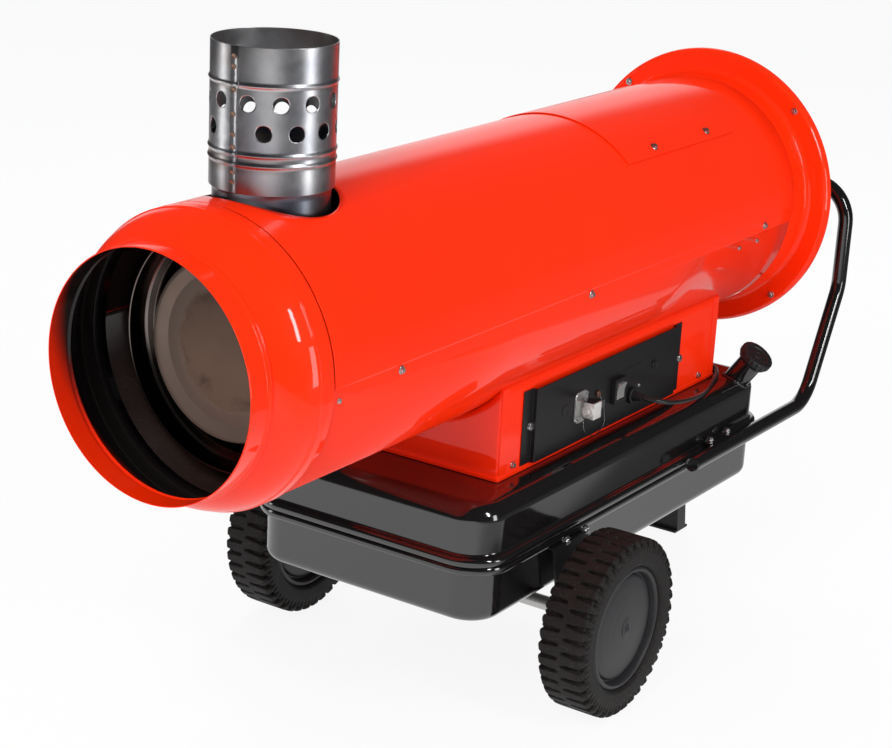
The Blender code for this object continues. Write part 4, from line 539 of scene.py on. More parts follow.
def tyre_grid(place):
    """A tyre's section carried round the axle. Wedge grooves cut in from both shoulders, half a
    pitch apart and wider outwards, and fade at the centre rib; serrations at twice the pitch
    run a little way down the sidewalls."""
    half = evenly(rounded([(0.0863, 0.0302), (0.09, 0.035), (0.104, 0.036), (0.1182, 0.036), (0.125, 0.03),
                           (0.125, 0.0)], [0.004, 0.05, 0.004, 0.004], 8), 36)
    section = np.concatenate([half, half[-2::-1] * (1, -1)])
    ahead = np.gradient(section, axis=0)
    out = np.stack([-ahead[:, 1], ahead[:, 0]], 1) / np.linalg.norm(ahead, axis=1)[:, None]
    out *= np.sign((out * (section - (0.105, 0))).sum(1))[:, None]
    turn = (np.arange(LUGS * LUG_COLUMNS) / LUG_COLUMNS)[None, :]
    radius, across = section[:, :1], section[:, 1:]
    lateral = np.abs(across)
    near = 2 * np.abs((turn + 0.5 * (across > 0)) % 1 - 0.5)
    width = 0.16 + 0.26 * np.clip((lateral - 0.003) / 0.03, 0, 1)
    groove = 1 - eased(near, width - 0.07, width + 0.07)
    depth = 0.0062 * groove * eased(lateral, 0.002, 0.0052) * eased(radius, 0.1142, 0.1172)
    near = 2 * np.abs((2 * turn) % 1 - 0.5)
    depth = depth + 0.0018 * (1 - eased(near, 0.34, 0.6)) * eased(radius, 0.1085, 0.11) * eased(
        0.1215 - radius, 0.0, 0.003)
    radius, across = radius - depth * out[:, :1], across - depth * out[:, 1:]
    angle = turn * 2 * pi / LUGS
    grid = np.stack([across, radius * np.cos(angle), radius * np.sin(angle)], -1) + place
    return np.concatenate([grid, grid[:1]])


rubber = Finish("tyre_rubber", Specular_IOR_Level=0.28)
specks = rubber.between(rubber.noise(1100.0, 2.0), 0.66, 0.72)
clouds = rubber.noise(26.0, 5.0)
tyre_rubber = rubber.wear(
    Base_Color=rubber.blend(specks * 0.45, rubber.blend(clouds, (0.006, 0.0052, 0.005), (0.0135, 0.0115, 0.0105)),
                            (0.4, 0.38, 0.35)),
    Roughness=0.58 + clouds * 0.2, Normal=rubber.relief(rubber.noise(900.0, 4.0), 0.0002, 0.5))
hub = Finish("hub_moulding", Specular_IOR_Level=0.4)
hub_grain = hub.noise(1600.0, 2.0)
hub_dust = hub.between(hub.noise(700.0, 2.0), 0.68, 0.76)
hub_plastic = hub.wear(Base_Color=hub.blend(hub_dust * 0.35, (0.022, 0.022, 0.024), (0.2, 0.19, 0.18)),
                       Roughness=0.42 + hub.noise(12.0) * 0.12, Normal=hub.relief(hub_grain, 0.0001, 0.4))

disc = rounded([(0.0105, 0.03), (0.016, 0.0303), (0.03, 0.0299), (0.045, 0.0288), (0.06, 0.027), (0.07, 0.025),
                (0.0728, 0.0236), (0.0742, 0.02), (0.0768, 0.02), (0.0785, 0.029), (0.0802, 0.0316),
                (0.0828, 0.0317), (0.0858, 0.03), (0.086, 0.0275)],
               [0.01, 0.05, 0.05, 0.05, 0.02, 0.003, 0.001, 0.001, 0.003, 0.0012, 0.0012, 0.0014], 4)
hub_section = np.concatenate([disc, (disc * (1, -1))[::-1]])
boss = rounded([(0, 0.0318), (0.003, 0.0318), (0.0036, 0.0329), (0.0052, 0.033), (0.0062, 0.0314),
                (0.015, 0.0309), (0.016, 0.0304)], 0.0006, 3)
boss = np.concatenate([boss, [(0, 0.0304)]])
for side, way in (("right", 1), ("left", -1)):
    place = np.array((way * WHEEL_OUT, at(AXLE_REACH), AXLE_HEIGHT))
    piece("tyre_" + side + "_tread", tyre_grid(place), tyre_rubber, "tyre_" + side, body="wheel_" + side,
          angle=55)
    piece("hub_" + side, turned(hub_section, place, (1, 0, 0), 128, ring=True), hub_plastic, "wheel_rim_" + side,
          body="wheel_" + side, angle=30)
    grid = (turned(boss, place, (way, 0, 0), 64) - place) * (1, 0.74, 1) + place
    piece("hub_boss_" + side, grid, hub_plastic, "axle_cap_" + side, angle=30)


# Handle: one steel tube bent from side to side behind the barrel and clamped on the tank's
# lip, enamelled black, with a pressed cap in each open end.
def swept(line, radius, sides=24, start=None):
    """A round tube along a line of points, with a frame carried along it, and closed ends."""
    line = np.asarray(line, float)
    ahead = np.gradient(line, axis=0)
    ahead /= np.linalg.norm(ahead, axis=1)[:, None]
    side = axes_for(ahead[0])[0] if start is None else np.asarray(start, float)
    carried = []
    for way in ahead:
        side = side - (side @ way) * way
        side /= np.linalg.norm(side)
        carried.append(side)
    carried = np.array(carried)
    turn = np.arange(sides) * 2 * pi / sides
    spread = (np.cos(turn)[None, :, None] * carried[:, None]
              + np.sin(turn)[None, :, None] * np.cross(ahead, carried)[:, None])
    return closed(line[:, None] + radius * spread)


HANDLE_X, HANDLE_FOOT, HANDLE_TOP = 0.2105, 0.248, 0.585
handle_half = [(-HANDLE_X, at(0.9572), HANDLE_FOOT), (-HANDLE_X, at(1.332), HANDLE_FOOT),
               (-HANDLE_X, at(1.4205), 0.421), (-HANDLE_X, at(1.4205), HANDLE_TOP)]
handle_line = rounded(handle_half + [(-x, y, z) for x, y, z in handle_half[::-1]], 0.06, 14)
piece("handle_bar", swept(handle_line, 0.0115, 32), black_enamel, "handle_tube", angle=50)
end_cap = rounded([(0, -0.0016), (0.007, -0.0016), (0.009, -0.0036), (0.0108, -0.0036), (0.0112, -0.0026),
                   (0.0112, -0.0004)], 0.0008, 3)
end_cap = np.concatenate([end_cap, [(0, -0.0004)]])
for side, name in ((-1, "left"), (1, "right")):
    piece("handle_end_" + name, turned(end_cap, (side * HANDLE_X, at(0.957), HANDLE_FOOT), steps=48),
          black_enamel, "handle_plug_" + name)
    softened("handle_clamp_" + name, black_enamel, 0.0006)


# Control box: sheet steel folded round between the tank and the barrel, with a hem at its foot
# and its upper edge cut to the barrel. Red stove enamel, like the casing.
def red_stove_enamel(name, dark=None):
    """Glossy orange-red enamel with orange peel and a few pinholes. A dark share, where one is
    given, fades it to near black: painted shade."""
    red = Finish(name, Specular_IOR_Level=0.06, Coat_IOR=1.5, Coat_Roughness=0.02)
    film = red.noise(4.0, 4.0)
    peel = red.noise(300.0, 2.0)
    pits = red.between(red.noise(650.0, 3.0), 0.74, 0.8)
    colour = red.blend(film, (0.9, 0.02, 0.001), (0.98, 0.029, 0.0012))
    colour = red.blend(pits * 0.35, colour, (0.35, 0.012, 0.004))
    if dark is not None:
        colour = red.blend(dark(red), colour, (0.01, 0.008, 0.008))
    return red.wear(Base_Color=colour, Roughness=0.38 + film * 0.1 + pits * 0.2, Coat_Weight=0.6,
                    Normal=red.relief(red.noise(7.0, 2.0) * 6.0 + peel * 0.25, 0.00012, 0.6))


red_enamel = red_stove_enamel("red_enamel")
BOX_MIDDLE, BOX_HALVES = at(0.8345), np.array([0.14, 0.3045])


def divided(ring, longest):
    """A closed ring of points with each run cut into equal parts no longer than a length."""
    parts = []
    for start, end in zip(ring, np.roll(ring, -1, 0)):
        count = max(1, int(np.ceil(np.linalg.norm(end - start) / longest)))
        parts.append(start + (end - start) * np.linspace(0, 1, count, endpoint=False)[:, None])
    return np.concatenate(parts)


box_ring = divided(outline(BOX_HALVES, 0.004, 0.0, 4)[0], 0.011)
box_top = 0.566 - np.sqrt(0.1796 ** 2 - box_ring[:, 0] ** 2) - 0.0003
proud = np.array([0.0014, 0.0015, 0.0015, 0.0011, 0.0003, 0, 0, 0, 0, 0, 0, 0, 0, 0])
level = np.array([0.0001, 0.0006, 0.005, 0.0058, 0.0062, 0.0068])[:, None]
share = np.linspace(0, 1, 9)[1:, None]
height = np.concatenate([0.3243 + level * np.ones(len(box_ring)), 0.3311 + share * (box_top - 0.3311)])
swollen = box_ring * (1 + proud[:, None] / BOX_HALVES)[:, None] + (0, BOX_MIDDLE)
sheet_grid = np.concatenate([swollen, height[..., None]], -1)
piece("box_skirt", sheet_grid, red_enamel, "control_box", wall=0.0014, angle=40)


def plate(name, halves, corner, thick, place, finish, edge):
    """A flat upright plate with round corners and a rounded outer edge, whose thickness runs from
    its place along X."""
    levels = np.concatenate([[(0, edge * 0.3), (edge * 0.3, 0)], arc_levels(thick, edge, 1, 3), [(thick, edge * 2.5)]])
    return piece(name, stacked(halves, corner, levels, place, "YZX", 5), finish, angle=40)


for side, name in ((-1, "left"), (1, "right")):
    for end, reach in (("front", 0.5405), ("rear", 1.1285)):
        plate("box_fold_%s_%s" % (end, name), (0.0085, 0.0595), 0.002, 0.001 * side,
              (side * 0.1399, at(reach), 0.3915), red_enamel, 0.0003 * side)
screws("box_screws", [((side * 0.1402, at(reach), height), (side, 0, 0)) for side in (-1, 1)
                      for reach, height in ((0.566, 0.3392), (1.089, 0.3372))], 0.0075, washer=1.3, socket=False)


# Casing: two rolled half shells of enamelled sheet. The upper one laps over the lower along a
# joggled band on each side, is screwed through it, and is cut out round the flue.
AXIS, UPPER_RADIUS, LOWER_RADIUS = 0.566, 0.1809, 0.1792
BARREL = (0, FRONT, AXIS)
CASING_START, CASING_END, LAP = 0.1113, 1.29, -5.2
FLUE_REACH, FLUE_CUT, PATCH = 0.218, 0.08, 0.1


def square_ring(half, steps):
    """Points round a square from its corner at (-half, -half), with the first one again at the end."""
    run = np.linspace(-half, half, steps + 1)
    still = np.full(steps + 1, half)
    ring = [np.stack(line, 1)[:-1] for line in ((run, -still), (still, run), (-run, still), (-still, -run))]
    return np.concatenate(ring + [ring[0][:1]])


def around_axis(turn, reach, radius):
    """Points round the barrel's axis: turns in radians above the +X side, reaches along it."""
    turn, reach, radius = np.broadcast_arrays(turn, reach, radius)
    return np.stack([radius * np.cos(turn), at(reach), AXIS + radius * np.sin(turn)], -1)


def rolled(angle, reach, radius):
    """Points on a cylinder round the barrel's axis: angles in degrees above the +X side, reaches
    along it. Where the angle lies in the lap's band the radius steps in by half a millimetre, and
    the band tapers off to the front, where the sheet's corner is cut."""
    angle, reach, radius = np.broadcast_arrays(angle, reach, radius)
    over = np.minimum(angle, 180 - angle)
    lap = (over < 0) & (radius > 0.18)
    radius = radius - np.where(radius > 0.18, 0.0006 * (1 - eased(over, -0.35, 0.35)), 0)
    cut = np.where(lap, over * (np.clip((reach - 0.108) / 0.05, 0.08, 1) - 1), 0)
    return around_axis(np.radians(angle + np.where(angle < 90, cut, -cut)), reach, radius)


casing_inside = two_tone("casing_inside", (0.006, 0.005, 0.005), (0.035, 0.018, 0.014), (16, 5), (0.14, 0.2))
across = np.linspace(-PATCH, PATCH, 25)
patch_angles = np.degrees(np.arccos(across[::-1] / UPPER_RADIUS))
side_angles = np.concatenate([[LAP, LAP + 0.12, -3.5, -1.5, -0.5, -0.35, -0.2, 0, 0.2, 0.35, 0.5, 1.5],
                              np.linspace(3, patch_angles[0], 25)])
all_angles = np.concatenate([side_angles[:-1], patch_angles, 180 - side_angles[::-1][1:]])
patch_reaches = FLUE_REACH + across
front_rows = np.array([CASING_START, 0.112, patch_reaches[0]])[:, None]
rear_rows = np.concatenate([[patch_reaches[-1]], np.linspace(0.36, 1.24, 12), [CASING_END]])[:, None]
shell = [rolled(all_angles[None], front_rows, UPPER_RADIUS), rolled(all_angles[None], rear_rows, UPPER_RADIUS),
         rolled(side_angles[None], patch_reaches[:, None], UPPER_RADIUS),
         rolled(180 - side_angles[None, ::-1], patch_reaches[:, None], UPPER_RADIUS)]
turn = np.radians(np.arange(97) * 3.75 + 225)
circle = FLUE_CUT * np.stack([np.cos(turn), np.sin(turn)], 1)
blend_share = np.linspace(0, 1, 5)[:, None, None] ** 1.3
flat = circle * (1 - blend_share) + square_ring(PATCH, 24) * blend_share
shell.append(rolled(np.degrees(np.arccos(flat[..., 0] / UPPER_RADIUS)), FLUE_REACH + flat[..., 1], UPPER_RADIUS))
piece("upper_shell", shell, red_enamel, "upper_casing", around=False, wall=0.0009, angle=50,
      inner=casing_inside)
low = rolled(np.linspace(-184, 4, 95)[None], np.array([CASING_START, 0.5, 0.9, CASING_END])[:, None], LOWER_RADIUS)
piece("lower_shell", low, red_enamel, "lower_casing", around=False, wall=0.0011, angle=50,
      inner=casing_inside)


def on_barrel(angle, reach, radius):
    """A place on the barrel and the direction straight out from it."""
    out = (cos(radians(angle)), 0, sin(radians(angle)))
    return (radius * out[0], at(reach), AXIS + radius * out[2]), out


lap_screws = [on_barrel(angle, reach, 0.1808) for angle in (-2.2, 182.2) for reach in (0.239, 0.673, 1.186)]
screws("lap_screws", lap_screws, 0.0076, height=0.42, washer=1.45)
small_screws = [on_barrel(angle, reach, 0.1795) for angle in (-9, 189) for reach in (1.112, 1.171)]
small_screws += [on_barrel(angle, 0.121, 0.1795) for angle in (-4.9, 184.9)]
screws("shell_screws", small_screws, 0.006, height=0.3, washer=1.15)

# The access cover: a rolled sheet over the burner, held by washered screws.
cover_angles = np.concatenate([[46, 46.12], np.linspace(47, 133, 44), [133.88, 134]])
cover_rows = np.array([0.846, 0.8464, 0.85, 0.95, 1.05, 1.156, 1.1596, 1.16])[:, None]
piece("burner_cover", rolled(cover_angles[None], cover_rows, 0.1827), red_enamel, "access_cover",
      around=False, wall=0.0014, edge=0.0004, angle=50)
cover_screws = [on_barrel(angle, reach, 0.1829) for angle in (50.4, 129.6) for reach in (0.934, 1.09)]
screws("cover_screws", cover_screws, 0.0078, height=0.42, washer=1.5)


# Outlet cone: a spun collar that swells out to the barrel, with a bead behind its rim and two
# fine ones on its shoulder. Inside, its red is painted nearly black a little way in from the
# rim, and sooner higher up: painted shade.
def cone_radius(reach):
    """The outer radius: straight, then a shoulder that rises steeply and levels out, plus beads."""
    share = np.clip((reach - 0.037) / 0.073, 0, 1)
    radius = 0.15 + 0.031 * (1 - (1 - share) ** 2.6)
    for place, height, width in ((0.0335, 0.003, 0.0023), (0.086, 0.0013, 0.0017), (0.101, 0.0012, 0.0017)):
        radius = radius + height * np.exp(-((reach - place) / width) ** 2)
    return np.minimum(radius, 0.18095)


def painted_inside_shade(finish):
    """Share of painted shade inside the cone: none at the outlet's rim, all of it a little way in,
    and sooner higher up, where less light reaches.
    """
    reach = finish.place("Y") - FRONT + (finish.place("Z") - AXIS + 0.06) * 0.26
    shade_ragging = finish.noise(22.0, 4.0)
    return finish.between(reach + shade_ragging * 0.01, 0.022, 0.056)


# Painted shade: the cone's inner face darkens to near black a little way in from its rim.
cone_inside = red_stove_enamel("cone_inside", painted_inside_shade)
cone_reach = np.concatenate([[0.0003, 0.001], np.linspace(0.003, 0.1085, 120), [0.1096, 0.11, 0.1102]])
cone_line = np.stack([cone_radius(cone_reach), cone_reach], 1)
cone_line[0, 0] -= 0.0005
cone_line[-3:, 0] = 0.1802, 0.1785, 0.1777
cone_line = np.concatenate([cone_line, [(0.1777, 0.126)]])
piece("cone", turned(cone_line, BARREL, steps=180), red_enamel, "outlet_cone", wall=0.0012,
      angle=50, inner=cone_inside)


# Inside: a stainless combustion chamber in the bore of a ring-shaped heat exchanger, both
# coloured by heat, with a burner behind them. Most of it is seen only through the two mouths.
heated = Finish("heated_steel", Metallic=1.0)
stain = heated.noise(26.0, 6.0, 0.65)
cloud = heated.noise(7.0, 3.0)
grain = heated.noise(900.0, 2.0)
from_axis = ((heated.place("X") ** 2.0) + ((heated.place("Z") - AXIS) ** 2.0)) ** 0.5
front_ring = heated.between(from_axis + stain * 0.03, 0.086, 0.096)
patchy = heated.between(heated.noise(13.0, 5.0, 0.7), 0.4, 0.62)
tide = heated.between(from_axis + stain * 0.045, 0.074, 0.094) * (1 - heated.between(
    from_axis + stain * 0.045, 0.094, 0.1)) * patchy
tan = heated.blend(cloud, (0.13, 0.08, 0.052), (0.215, 0.148, 0.108))
tan = heated.blend(front_ring, tan, (0.3, 0.24, 0.195))
tan = heated.blend(tide * 0.75, tan, (0.035, 0.025, 0.02))
heat_tinted = heated.wear(Base_Color=tan, Roughness=0.42 + stain * 0.22, Metallic=0.3 + front_ring * 0.4,
                          Normal=heated.relief(grain + stain * 2, 0.00025, 0.4))
sooted = two_tone("sooted_steel", (0.055, 0.05, 0.048), (0.3, 0.26, 0.235), (18, 5), (0.1, 0.22), Metallic=1.0)
chamber = rounded([(0, 0.148), (0.093, 0.144), (0.103, 0.1395), (0.1068, 0.1382), (0.111, 0.1382), (0.113, 0.142),
                   (0.113, 0.7995), (0.0505, 0.7995), (0.0505, 0.797), (0.1105, 0.797), (0.1105, 0.15)], 0.0018, 4)
piece("chamber", turned(chamber, BARREL, steps=128), heat_tinted, "combustion_chamber",
      angle=40)
EXCHANGER_RADIUS = 0.156
shroud = rounded([(0.132, 0.7649), (0.132, 0.168), (0.135, 0.1652), (0.144, 0.1652), (0.147, 0.1625),
                  (0.1488, 0.1385), (0.1512, 0.1372), (0.1522, 0.1395), (0.1502, 0.142), (0.1506, 0.16),
                  (EXCHANGER_RADIUS, 0.1665), (EXCHANGER_RADIUS, 0.7649)], 0.0012, 4)
piece("exchanger_drum", turned(shroud, BARREL, steps=128, ring=True), sooted,
      "heat_exchanger", angle=40)
for node in ("crossover_duct", "exchanger_saddle_1", "exchanger_saddle_2", "chamber_saddle", "blast_tube",
             "nozzle_holder", "burner_leg", "motor_bracket"):
    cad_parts[node].data.materials[0] = sooted if "bracket" not in node and "leg" not in node else black_enamel
aluminium = two_tone("cast_aluminium", (0.34, 0.34, 0.34), (0.5, 0.5, 0.49), (30,), (0.42, 0.2), (500, 4),
                     (0.0002, 0.5), Metallic=0.9)
motor_grey = two_tone("motor_paint", (0.075, 0.08, 0.088), (0.12, 0.125, 0.13), (40, 5), (0.4, 0.2), (200,))
for node, finish, width, coarse in (
        ("blower_housing", aluminium, 0.0012, 2.0), ("fuel_pump", aluminium, 0.0012, 2.0),
        ("fuel_filter", aluminium, 0.0012, 2.0), ("blower_wheel", aluminium, 0.0012, 2.0),
        ("motor_body", motor_grey, 0.002, 0.5), ("ignition_transformer", black_moulding, 0.0016, 2.0),
        ("burner_control_unit", black_moulding, 0.0016, 2.0), ("motor_shaft", bright_steel, 0.0004, 2.0)):
    softened(node, finish, width, coarse, "rotor" if node in ("blower_wheel", "motor_shaft") else "heater")


# Inlet flange: spun from the barrel's end in a cove, a broad ring and a flat lip, and screwed on
# from the front. Inside it lie a welded wire guard and the main fan.
flange_line = rounded([(0.1812, 1.29), (0.1812, 1.305), (0.1833, 1.315), (0.189, 1.32), (0.204, 1.3206),
                       (0.214, 1.3208), (0.2183, 1.326), (0.2188, 1.334), (0.218, 1.3359), (0.2168, 1.334),
                       (0.216, 1.327), (0.2125, 1.3225), (0.1885, 1.3219), (0.1818, 1.3165), (0.1798, 1.305),
                       (0.1798, 1.2745)],
                      [0.004, 0.01, 0.01, 0.004, 0.004, 0.006, 0.004, 0.0006, 0.0006, 0.004, 0.005, 0.004, 0.009,
                       0.008], 6)
piece("flange", turned(flange_line, BARREL, steps=180, ring=True), red_enamel, "inlet_flange",
      angle=40)
flange_screws = [(on_barrel(angle, 1.3203, 0.206)[0], (0, -1, 0)) for angle in (134, 44, -47, -136)]
screws("flange_screws", flange_screws, 0.0078, height=0.42, washer=1.45)
screws("seam_rivets", [on_barrel(angle, 1.292, 0.1812) for angle in (44.6, 135.4)], 0.006, red_enamel, sides=0,
       height=0.2, washer=1.1, socket=False)

GUARD_REACH, guard_lines = 1.32466, []
turn = np.linspace(0, 2 * pi, 145)
for radius in (0.0566, 0.128, 0.199):
    guard_lines.append(swept(around_axis(turn, GUARD_REACH + 0.0004, radius), 0.0019, 10, (0, 1, 0))[1:-1])
for angle in (45, 135, 225, 315):
    guard_lines.append(swept(around_axis(radians(angle), GUARD_REACH, (0.0005, 0.1, 0.2008)), 0.0024, 12))
piece("wire_guard", guard_lines, black_enamel, "inlet_guard", angle=60)

reach_share, chord_share = np.linspace(0, 1, 12)[:, None], np.linspace(-1, 1, 9)[None, :]
radius = 0.0385 + 0.1293 * reach_share
chord = chord_share * (0.026 + 0.012 * np.sin(reach_share * pi * 0.9))
pitch = np.radians(46 - 20 * reach_share)
swing = (chord * np.cos(pitch) + 0.003 * (1 - chord_share ** 2)) / radius
blades = [around_axis(swing + turn, 1.2417 + chord * np.sin(pitch) * 0.52, radius) for turn in np.arange(6) * pi / 3]
piece("fan_blades", blades, black_moulding, body="rotor", around=False, wall=0.0018, angle=50)
hub_line = rounded([(0.0072, 1.2222), (0.0385, 1.2222), (0.04, 1.224), (0.04, 1.259), (0.037, 1.2616),
                    (0.015, 1.2616), (0.014, 1.26), (0.0072, 1.26)], 0.0012, 4)
piece("fan_hub", turned(hub_line, BARREL, steps=64, ring=True), black_moulding, "fan_impeller",
      body="rotor", angle=30)


# Flue: a perforated pipe of thin stainless sheet with a lapped seam and three rolled beads,
# sleeved over a stub that the burnt gas has blued.
PIPE_RADIUS, PIPE_FOOT, PIPE_HEIGHT = 0.0739, 0.754, 0.168
PIPE_BEADS, SEAM_ANGLE, STUB_RADIUS = (0.2, 0.27, 0.74), -84.0, 0.0699


def around_flue(turn, radius, height):
    """Points round the flue's axis: turns in radians, heights over the floor."""
    turn, radius, height = np.broadcast_arrays(turn, radius, height)
    return np.stack([radius * np.cos(turn), at(FLUE_REACH) + radius * np.sin(turn), height], -1)


def pipe_point(angle, height, proud=0.0):
    """A place on the pipe from its angle in degrees and its height over the pipe's foot. Three
    round beads swell the radius."""
    radius = PIPE_RADIUS + proud
    for share in PIPE_BEADS:
        radius = radius + 0.0015 * np.exp(-((height - PIPE_HEIGHT * share) / 0.0021) ** 2)
    return around_flue(np.radians(angle), radius, PIPE_FOOT + height)


HOLE_ROWS, HOLE_BAND, HOLE_RADIUS = (0.425 * PIPE_HEIGHT, 0.62 * PIPE_HEIGHT), 0.0148, 0.0094
around_pipe = np.arange(97) * 3.75
levels = [np.array([0.0, 0.0004, 0.01, 0.02]), np.linspace(0.026, 0.052, 25), [HOLE_ROWS[0] - HOLE_BAND]]
bands = [np.concatenate(levels), np.array([HOLE_ROWS[0] + HOLE_BAND, HOLE_ROWS[1] - HOLE_BAND]),
         np.concatenate([[HOLE_ROWS[1] + HOLE_BAND], np.linspace(0.1195, 0.1295, 13), [0.14, 0.16, 0.1676, 0.168]])]
pipe = [pipe_point(around_pipe[None], band[:, None]) for band in bands]
cell = square_ring(1, 8)
turn = np.radians(np.arange(33) * 11.25 + 225)
for row, height in enumerate(HOLE_ROWS):
    for index in range(12):
        middle = index * 30 + row * 15
        outer = np.stack([middle + 15 * cell[:, 0], height + HOLE_BAND * cell[:, 1]], 1)
        if row == 0 and index == 9:
            inner = np.repeat([[middle, height]], 33, 0)
        else:
            inner = np.stack([middle + np.degrees(HOLE_RADIUS / PIPE_RADIUS) * np.cos(turn),
                              height + HOLE_RADIUS * np.sin(turn)], 1)
        share = np.array([0, 0.12, 0.5, 1])[:, None, None]
        spots = inner * (1 - share) + outer * share
        pipe.append(pipe_point(spots[..., 0], spots[..., 1]))


def flue_steel(name, low, high, foot, top):
    """Mill-finish stainless sheet, mottled, with straw and blue tints where it has been hot:
    strongest at the foot and along the beads."""
    sheet = Finish(name, Metallic=1.0)
    height = sheet.place("Z")
    mottle = sheet.noise(55.0, 6.0, 0.7)
    streak = sheet.noise(22.0, 5.0, spot=sheet.place(stretch=(1, 1, 0.08)))
    colour = sheet.blend(mottle, low, high)
    beads = 0.0
    for share in PIPE_BEADS:
        beads = beads + 2.0 ** (0.0 - ((height - (PIPE_FOOT + PIPE_HEIGHT * share - 0.005)) / 0.0045) ** 2.0)
    straw = sheet.between(sheet.noise(9.0, 3.0) + beads * 0.16, 0.5, 0.72)
    colour = sheet.blend(straw * 0.55, colour, (0.3, 0.2, 0.13))
    blue = sheet.between(sheet.noise(6.0, 3.0, spot=sheet.place(shift=(3, 1, 2))), 0.5, 0.7)
    colour = sheet.blend(blue * 0.4, colour, (0.1, 0.14, 0.24))
    hot = 1 - sheet.between(height + streak * 0.02, foot, top)
    colour = sheet.blend(hot * 0.6, colour, (0.06, 0.055, 0.06))
    return sheet.wear(Base_Color=colour, Roughness=0.22 + mottle * 0.14 + streak * 0.08,
                      Normal=sheet.relief(streak + mottle, 0.0004, 0.25))


stainless = flue_steel("stainless_sheet", (0.4, 0.4, 0.42), (0.74, 0.74, 0.75), 0.745, 0.79)
blued = flue_steel("blued_sheet", (0.12, 0.13, 0.16), (0.28, 0.3, 0.34), 0.7, 0.78)
piece("flue_tube", pipe, stainless, "flue_pipe", around=False, wall=0.0009, angle=45)
strip = np.concatenate([np.array([0.0006, 0.001, 0.02]), np.linspace(0.026, 0.052, 25), [0.09],
                        np.linspace(0.1195, 0.1295, 13), [0.15, 0.1674]])
seam_angles = np.array([SEAM_ANGLE - 9.0, SEAM_ANGLE - 0.5, SEAM_ANGLE, SEAM_ANGLE + 0.02])
seam_grid = pipe_point(seam_angles[None], strip[:, None], np.array([0.0001, 0.0008, 0.0008, -0.0002])[None])
piece("flue_seam", seam_grid, stainless, around=False, wall=0.0002, angle=60)
weld_brown = two_tone("spot_weld", (0.3, 0.16, 0.1), (0.55, 0.38, 0.28), (500,), (0.34, 0.2), (800,), Metallic=0.9)
dots, dot = [], [(0, -0.0004), (0.003, -0.0004), (0.0026, 0.0007), (0.0017, 0.0002), (0, 0.0004)]
for height in (0.0125, 0.0235, 0.0525, 0.067, 0.0905, 0.118, 0.144, 0.156):
    place = pipe_point(SEAM_ANGLE - 5.5, height, 0.0005)
    out = place - (0, at(FLUE_REACH), PIPE_FOOT + height)
    dots.append(turned(dot, place, out, 16))
piece("flue_welds", dots, weld_brown, angle=60)
stub_turn = np.radians(np.arange(121) * 3.0)
stub_foot = AXIS + np.sqrt((EXCHANGER_RADIUS + 0.0005) ** 2 - (STUB_RADIUS * np.cos(stub_turn)) ** 2)
stub_levels = np.linspace(0, 1, 6)[:, None]
stub = around_flue(stub_turn, STUB_RADIUS, stub_foot * (1 - stub_levels) + 0.7545 * stub_levels)
sleeve = [around_flue(stub_turn, *corner) for corner in ((0.0724, 0.7575), (0.0724, 0.8135), (0.0714, 0.8138))]
piece("flue_collar", np.concatenate([stub, np.stack(sleeve)]), blued, "flue_stub", around=False,
      wall=0.001, angle=50)


# Control panel: a hat-shaped steel plate in fine satin black on the box's side. It carries a
# die-cast thermostat socket with its bail and a blanked hood, a rocker switch, a reset button
# and the cord's gland.
FACE, SOCKET_REACH, SOCKET_HEIGHT = 0.1483, 0.721, 0.383
GLAND_REACH, GLAND_HEIGHT = 0.866, 0.363
satin = Finish("satin_black")
texture = satin.noise(1500.0, 2.0)
haze = satin.noise(9.0, 4.0)
specks = satin.between(satin.noise(800.0, 2.0), 0.72, 0.8)
satin_black = satin.wear(Base_Color=satin.blend(specks * 0.3, (0.008, 0.0075, 0.0085), (0.08, 0.08, 0.08)),
                         Roughness=0.3 + haze * 0.12, Normal=satin.relief(texture, 0.00006, 0.5))
softened("panel_plate", satin_black, 0.001)
screws("panel_screws", [((0.1413, at(0.602), 0.384), (1, 0, 0)), ((0.1413, at(1.018), 0.381), (1, 0, 0))], 0.0118,
       sides=0, height=0.22, washer=1.05, slot=0.9)
plate("blank_plate", (0.0255, 0.009), 0.0008, 0.0004, (FACE, at(0.8675), 0.398), satin_black, 0.0002)
piece("plugged_hole", turned([(0, 0), (0.0085, 0), (0.0085, 0.0006), (0.007, 0.0012), (0.005, 0.0006), (0, 0.0006)],
                             (FACE, at(0.683), 0.386), (1, 0, 0), 40), black_moulding, angle=35)
piece("brown_cap", turned(rounded([(0, 0), (0.0052, 0), (0.0052, 0.0022), (0.003, 0.004), (0, 0.004)], 0.0012, 4),
                          (FACE, at(0.768), 0.3895), (1, 0, 0), 32),
      Finish("brown_cap", Roughness=0.35, Base_Color=(0.085, 0.032, 0.018)).material)

cast_white = two_tone("die_cast", (0.5, 0.5, 0.49), (0.72, 0.71, 0.69), (60, 4), (0.3, 0.15), (900, 3),
                      (0.0001, 0.4), Metallic=0.85)
flange_levels = [(0.0002, 0.0006), (0.0006, 0.0), (0.0017, 0.0), (0.0024, 0.0006), (0.0026, 0.0014), (0.0026, 0.006)]
piece("socket_plate", stacked((0.0163, 0.0223), 0.008, flange_levels, (FACE, at(SOCKET_REACH), SOCKET_HEIGHT),
                              "YZX", 8), cast_white, angle=40)
softened("thermostat_socket", cast_white, 0.001)
socket_screws = [((FACE + 0.0027, at(SOCKET_REACH + part * 0.0122), SOCKET_HEIGHT + part * 0.018), (1, 0, 0))
                 for part in (-1, 1)]
screws("socket_screws", socket_screws, 0.0048, sides=0, height=0.25, washer=1.15)
chromed = two_tone("chromed_steel", (0.42, 0.42, 0.43), (0.6, 0.6, 0.6), (200,), (0.1, 0.12), (90,), Metallic=1.0)
hood_grey = two_tone("pale_moulding", (0.42, 0.41, 0.39), (0.58, 0.57, 0.55), (120, 4), (0.32, 0.15), (700,))
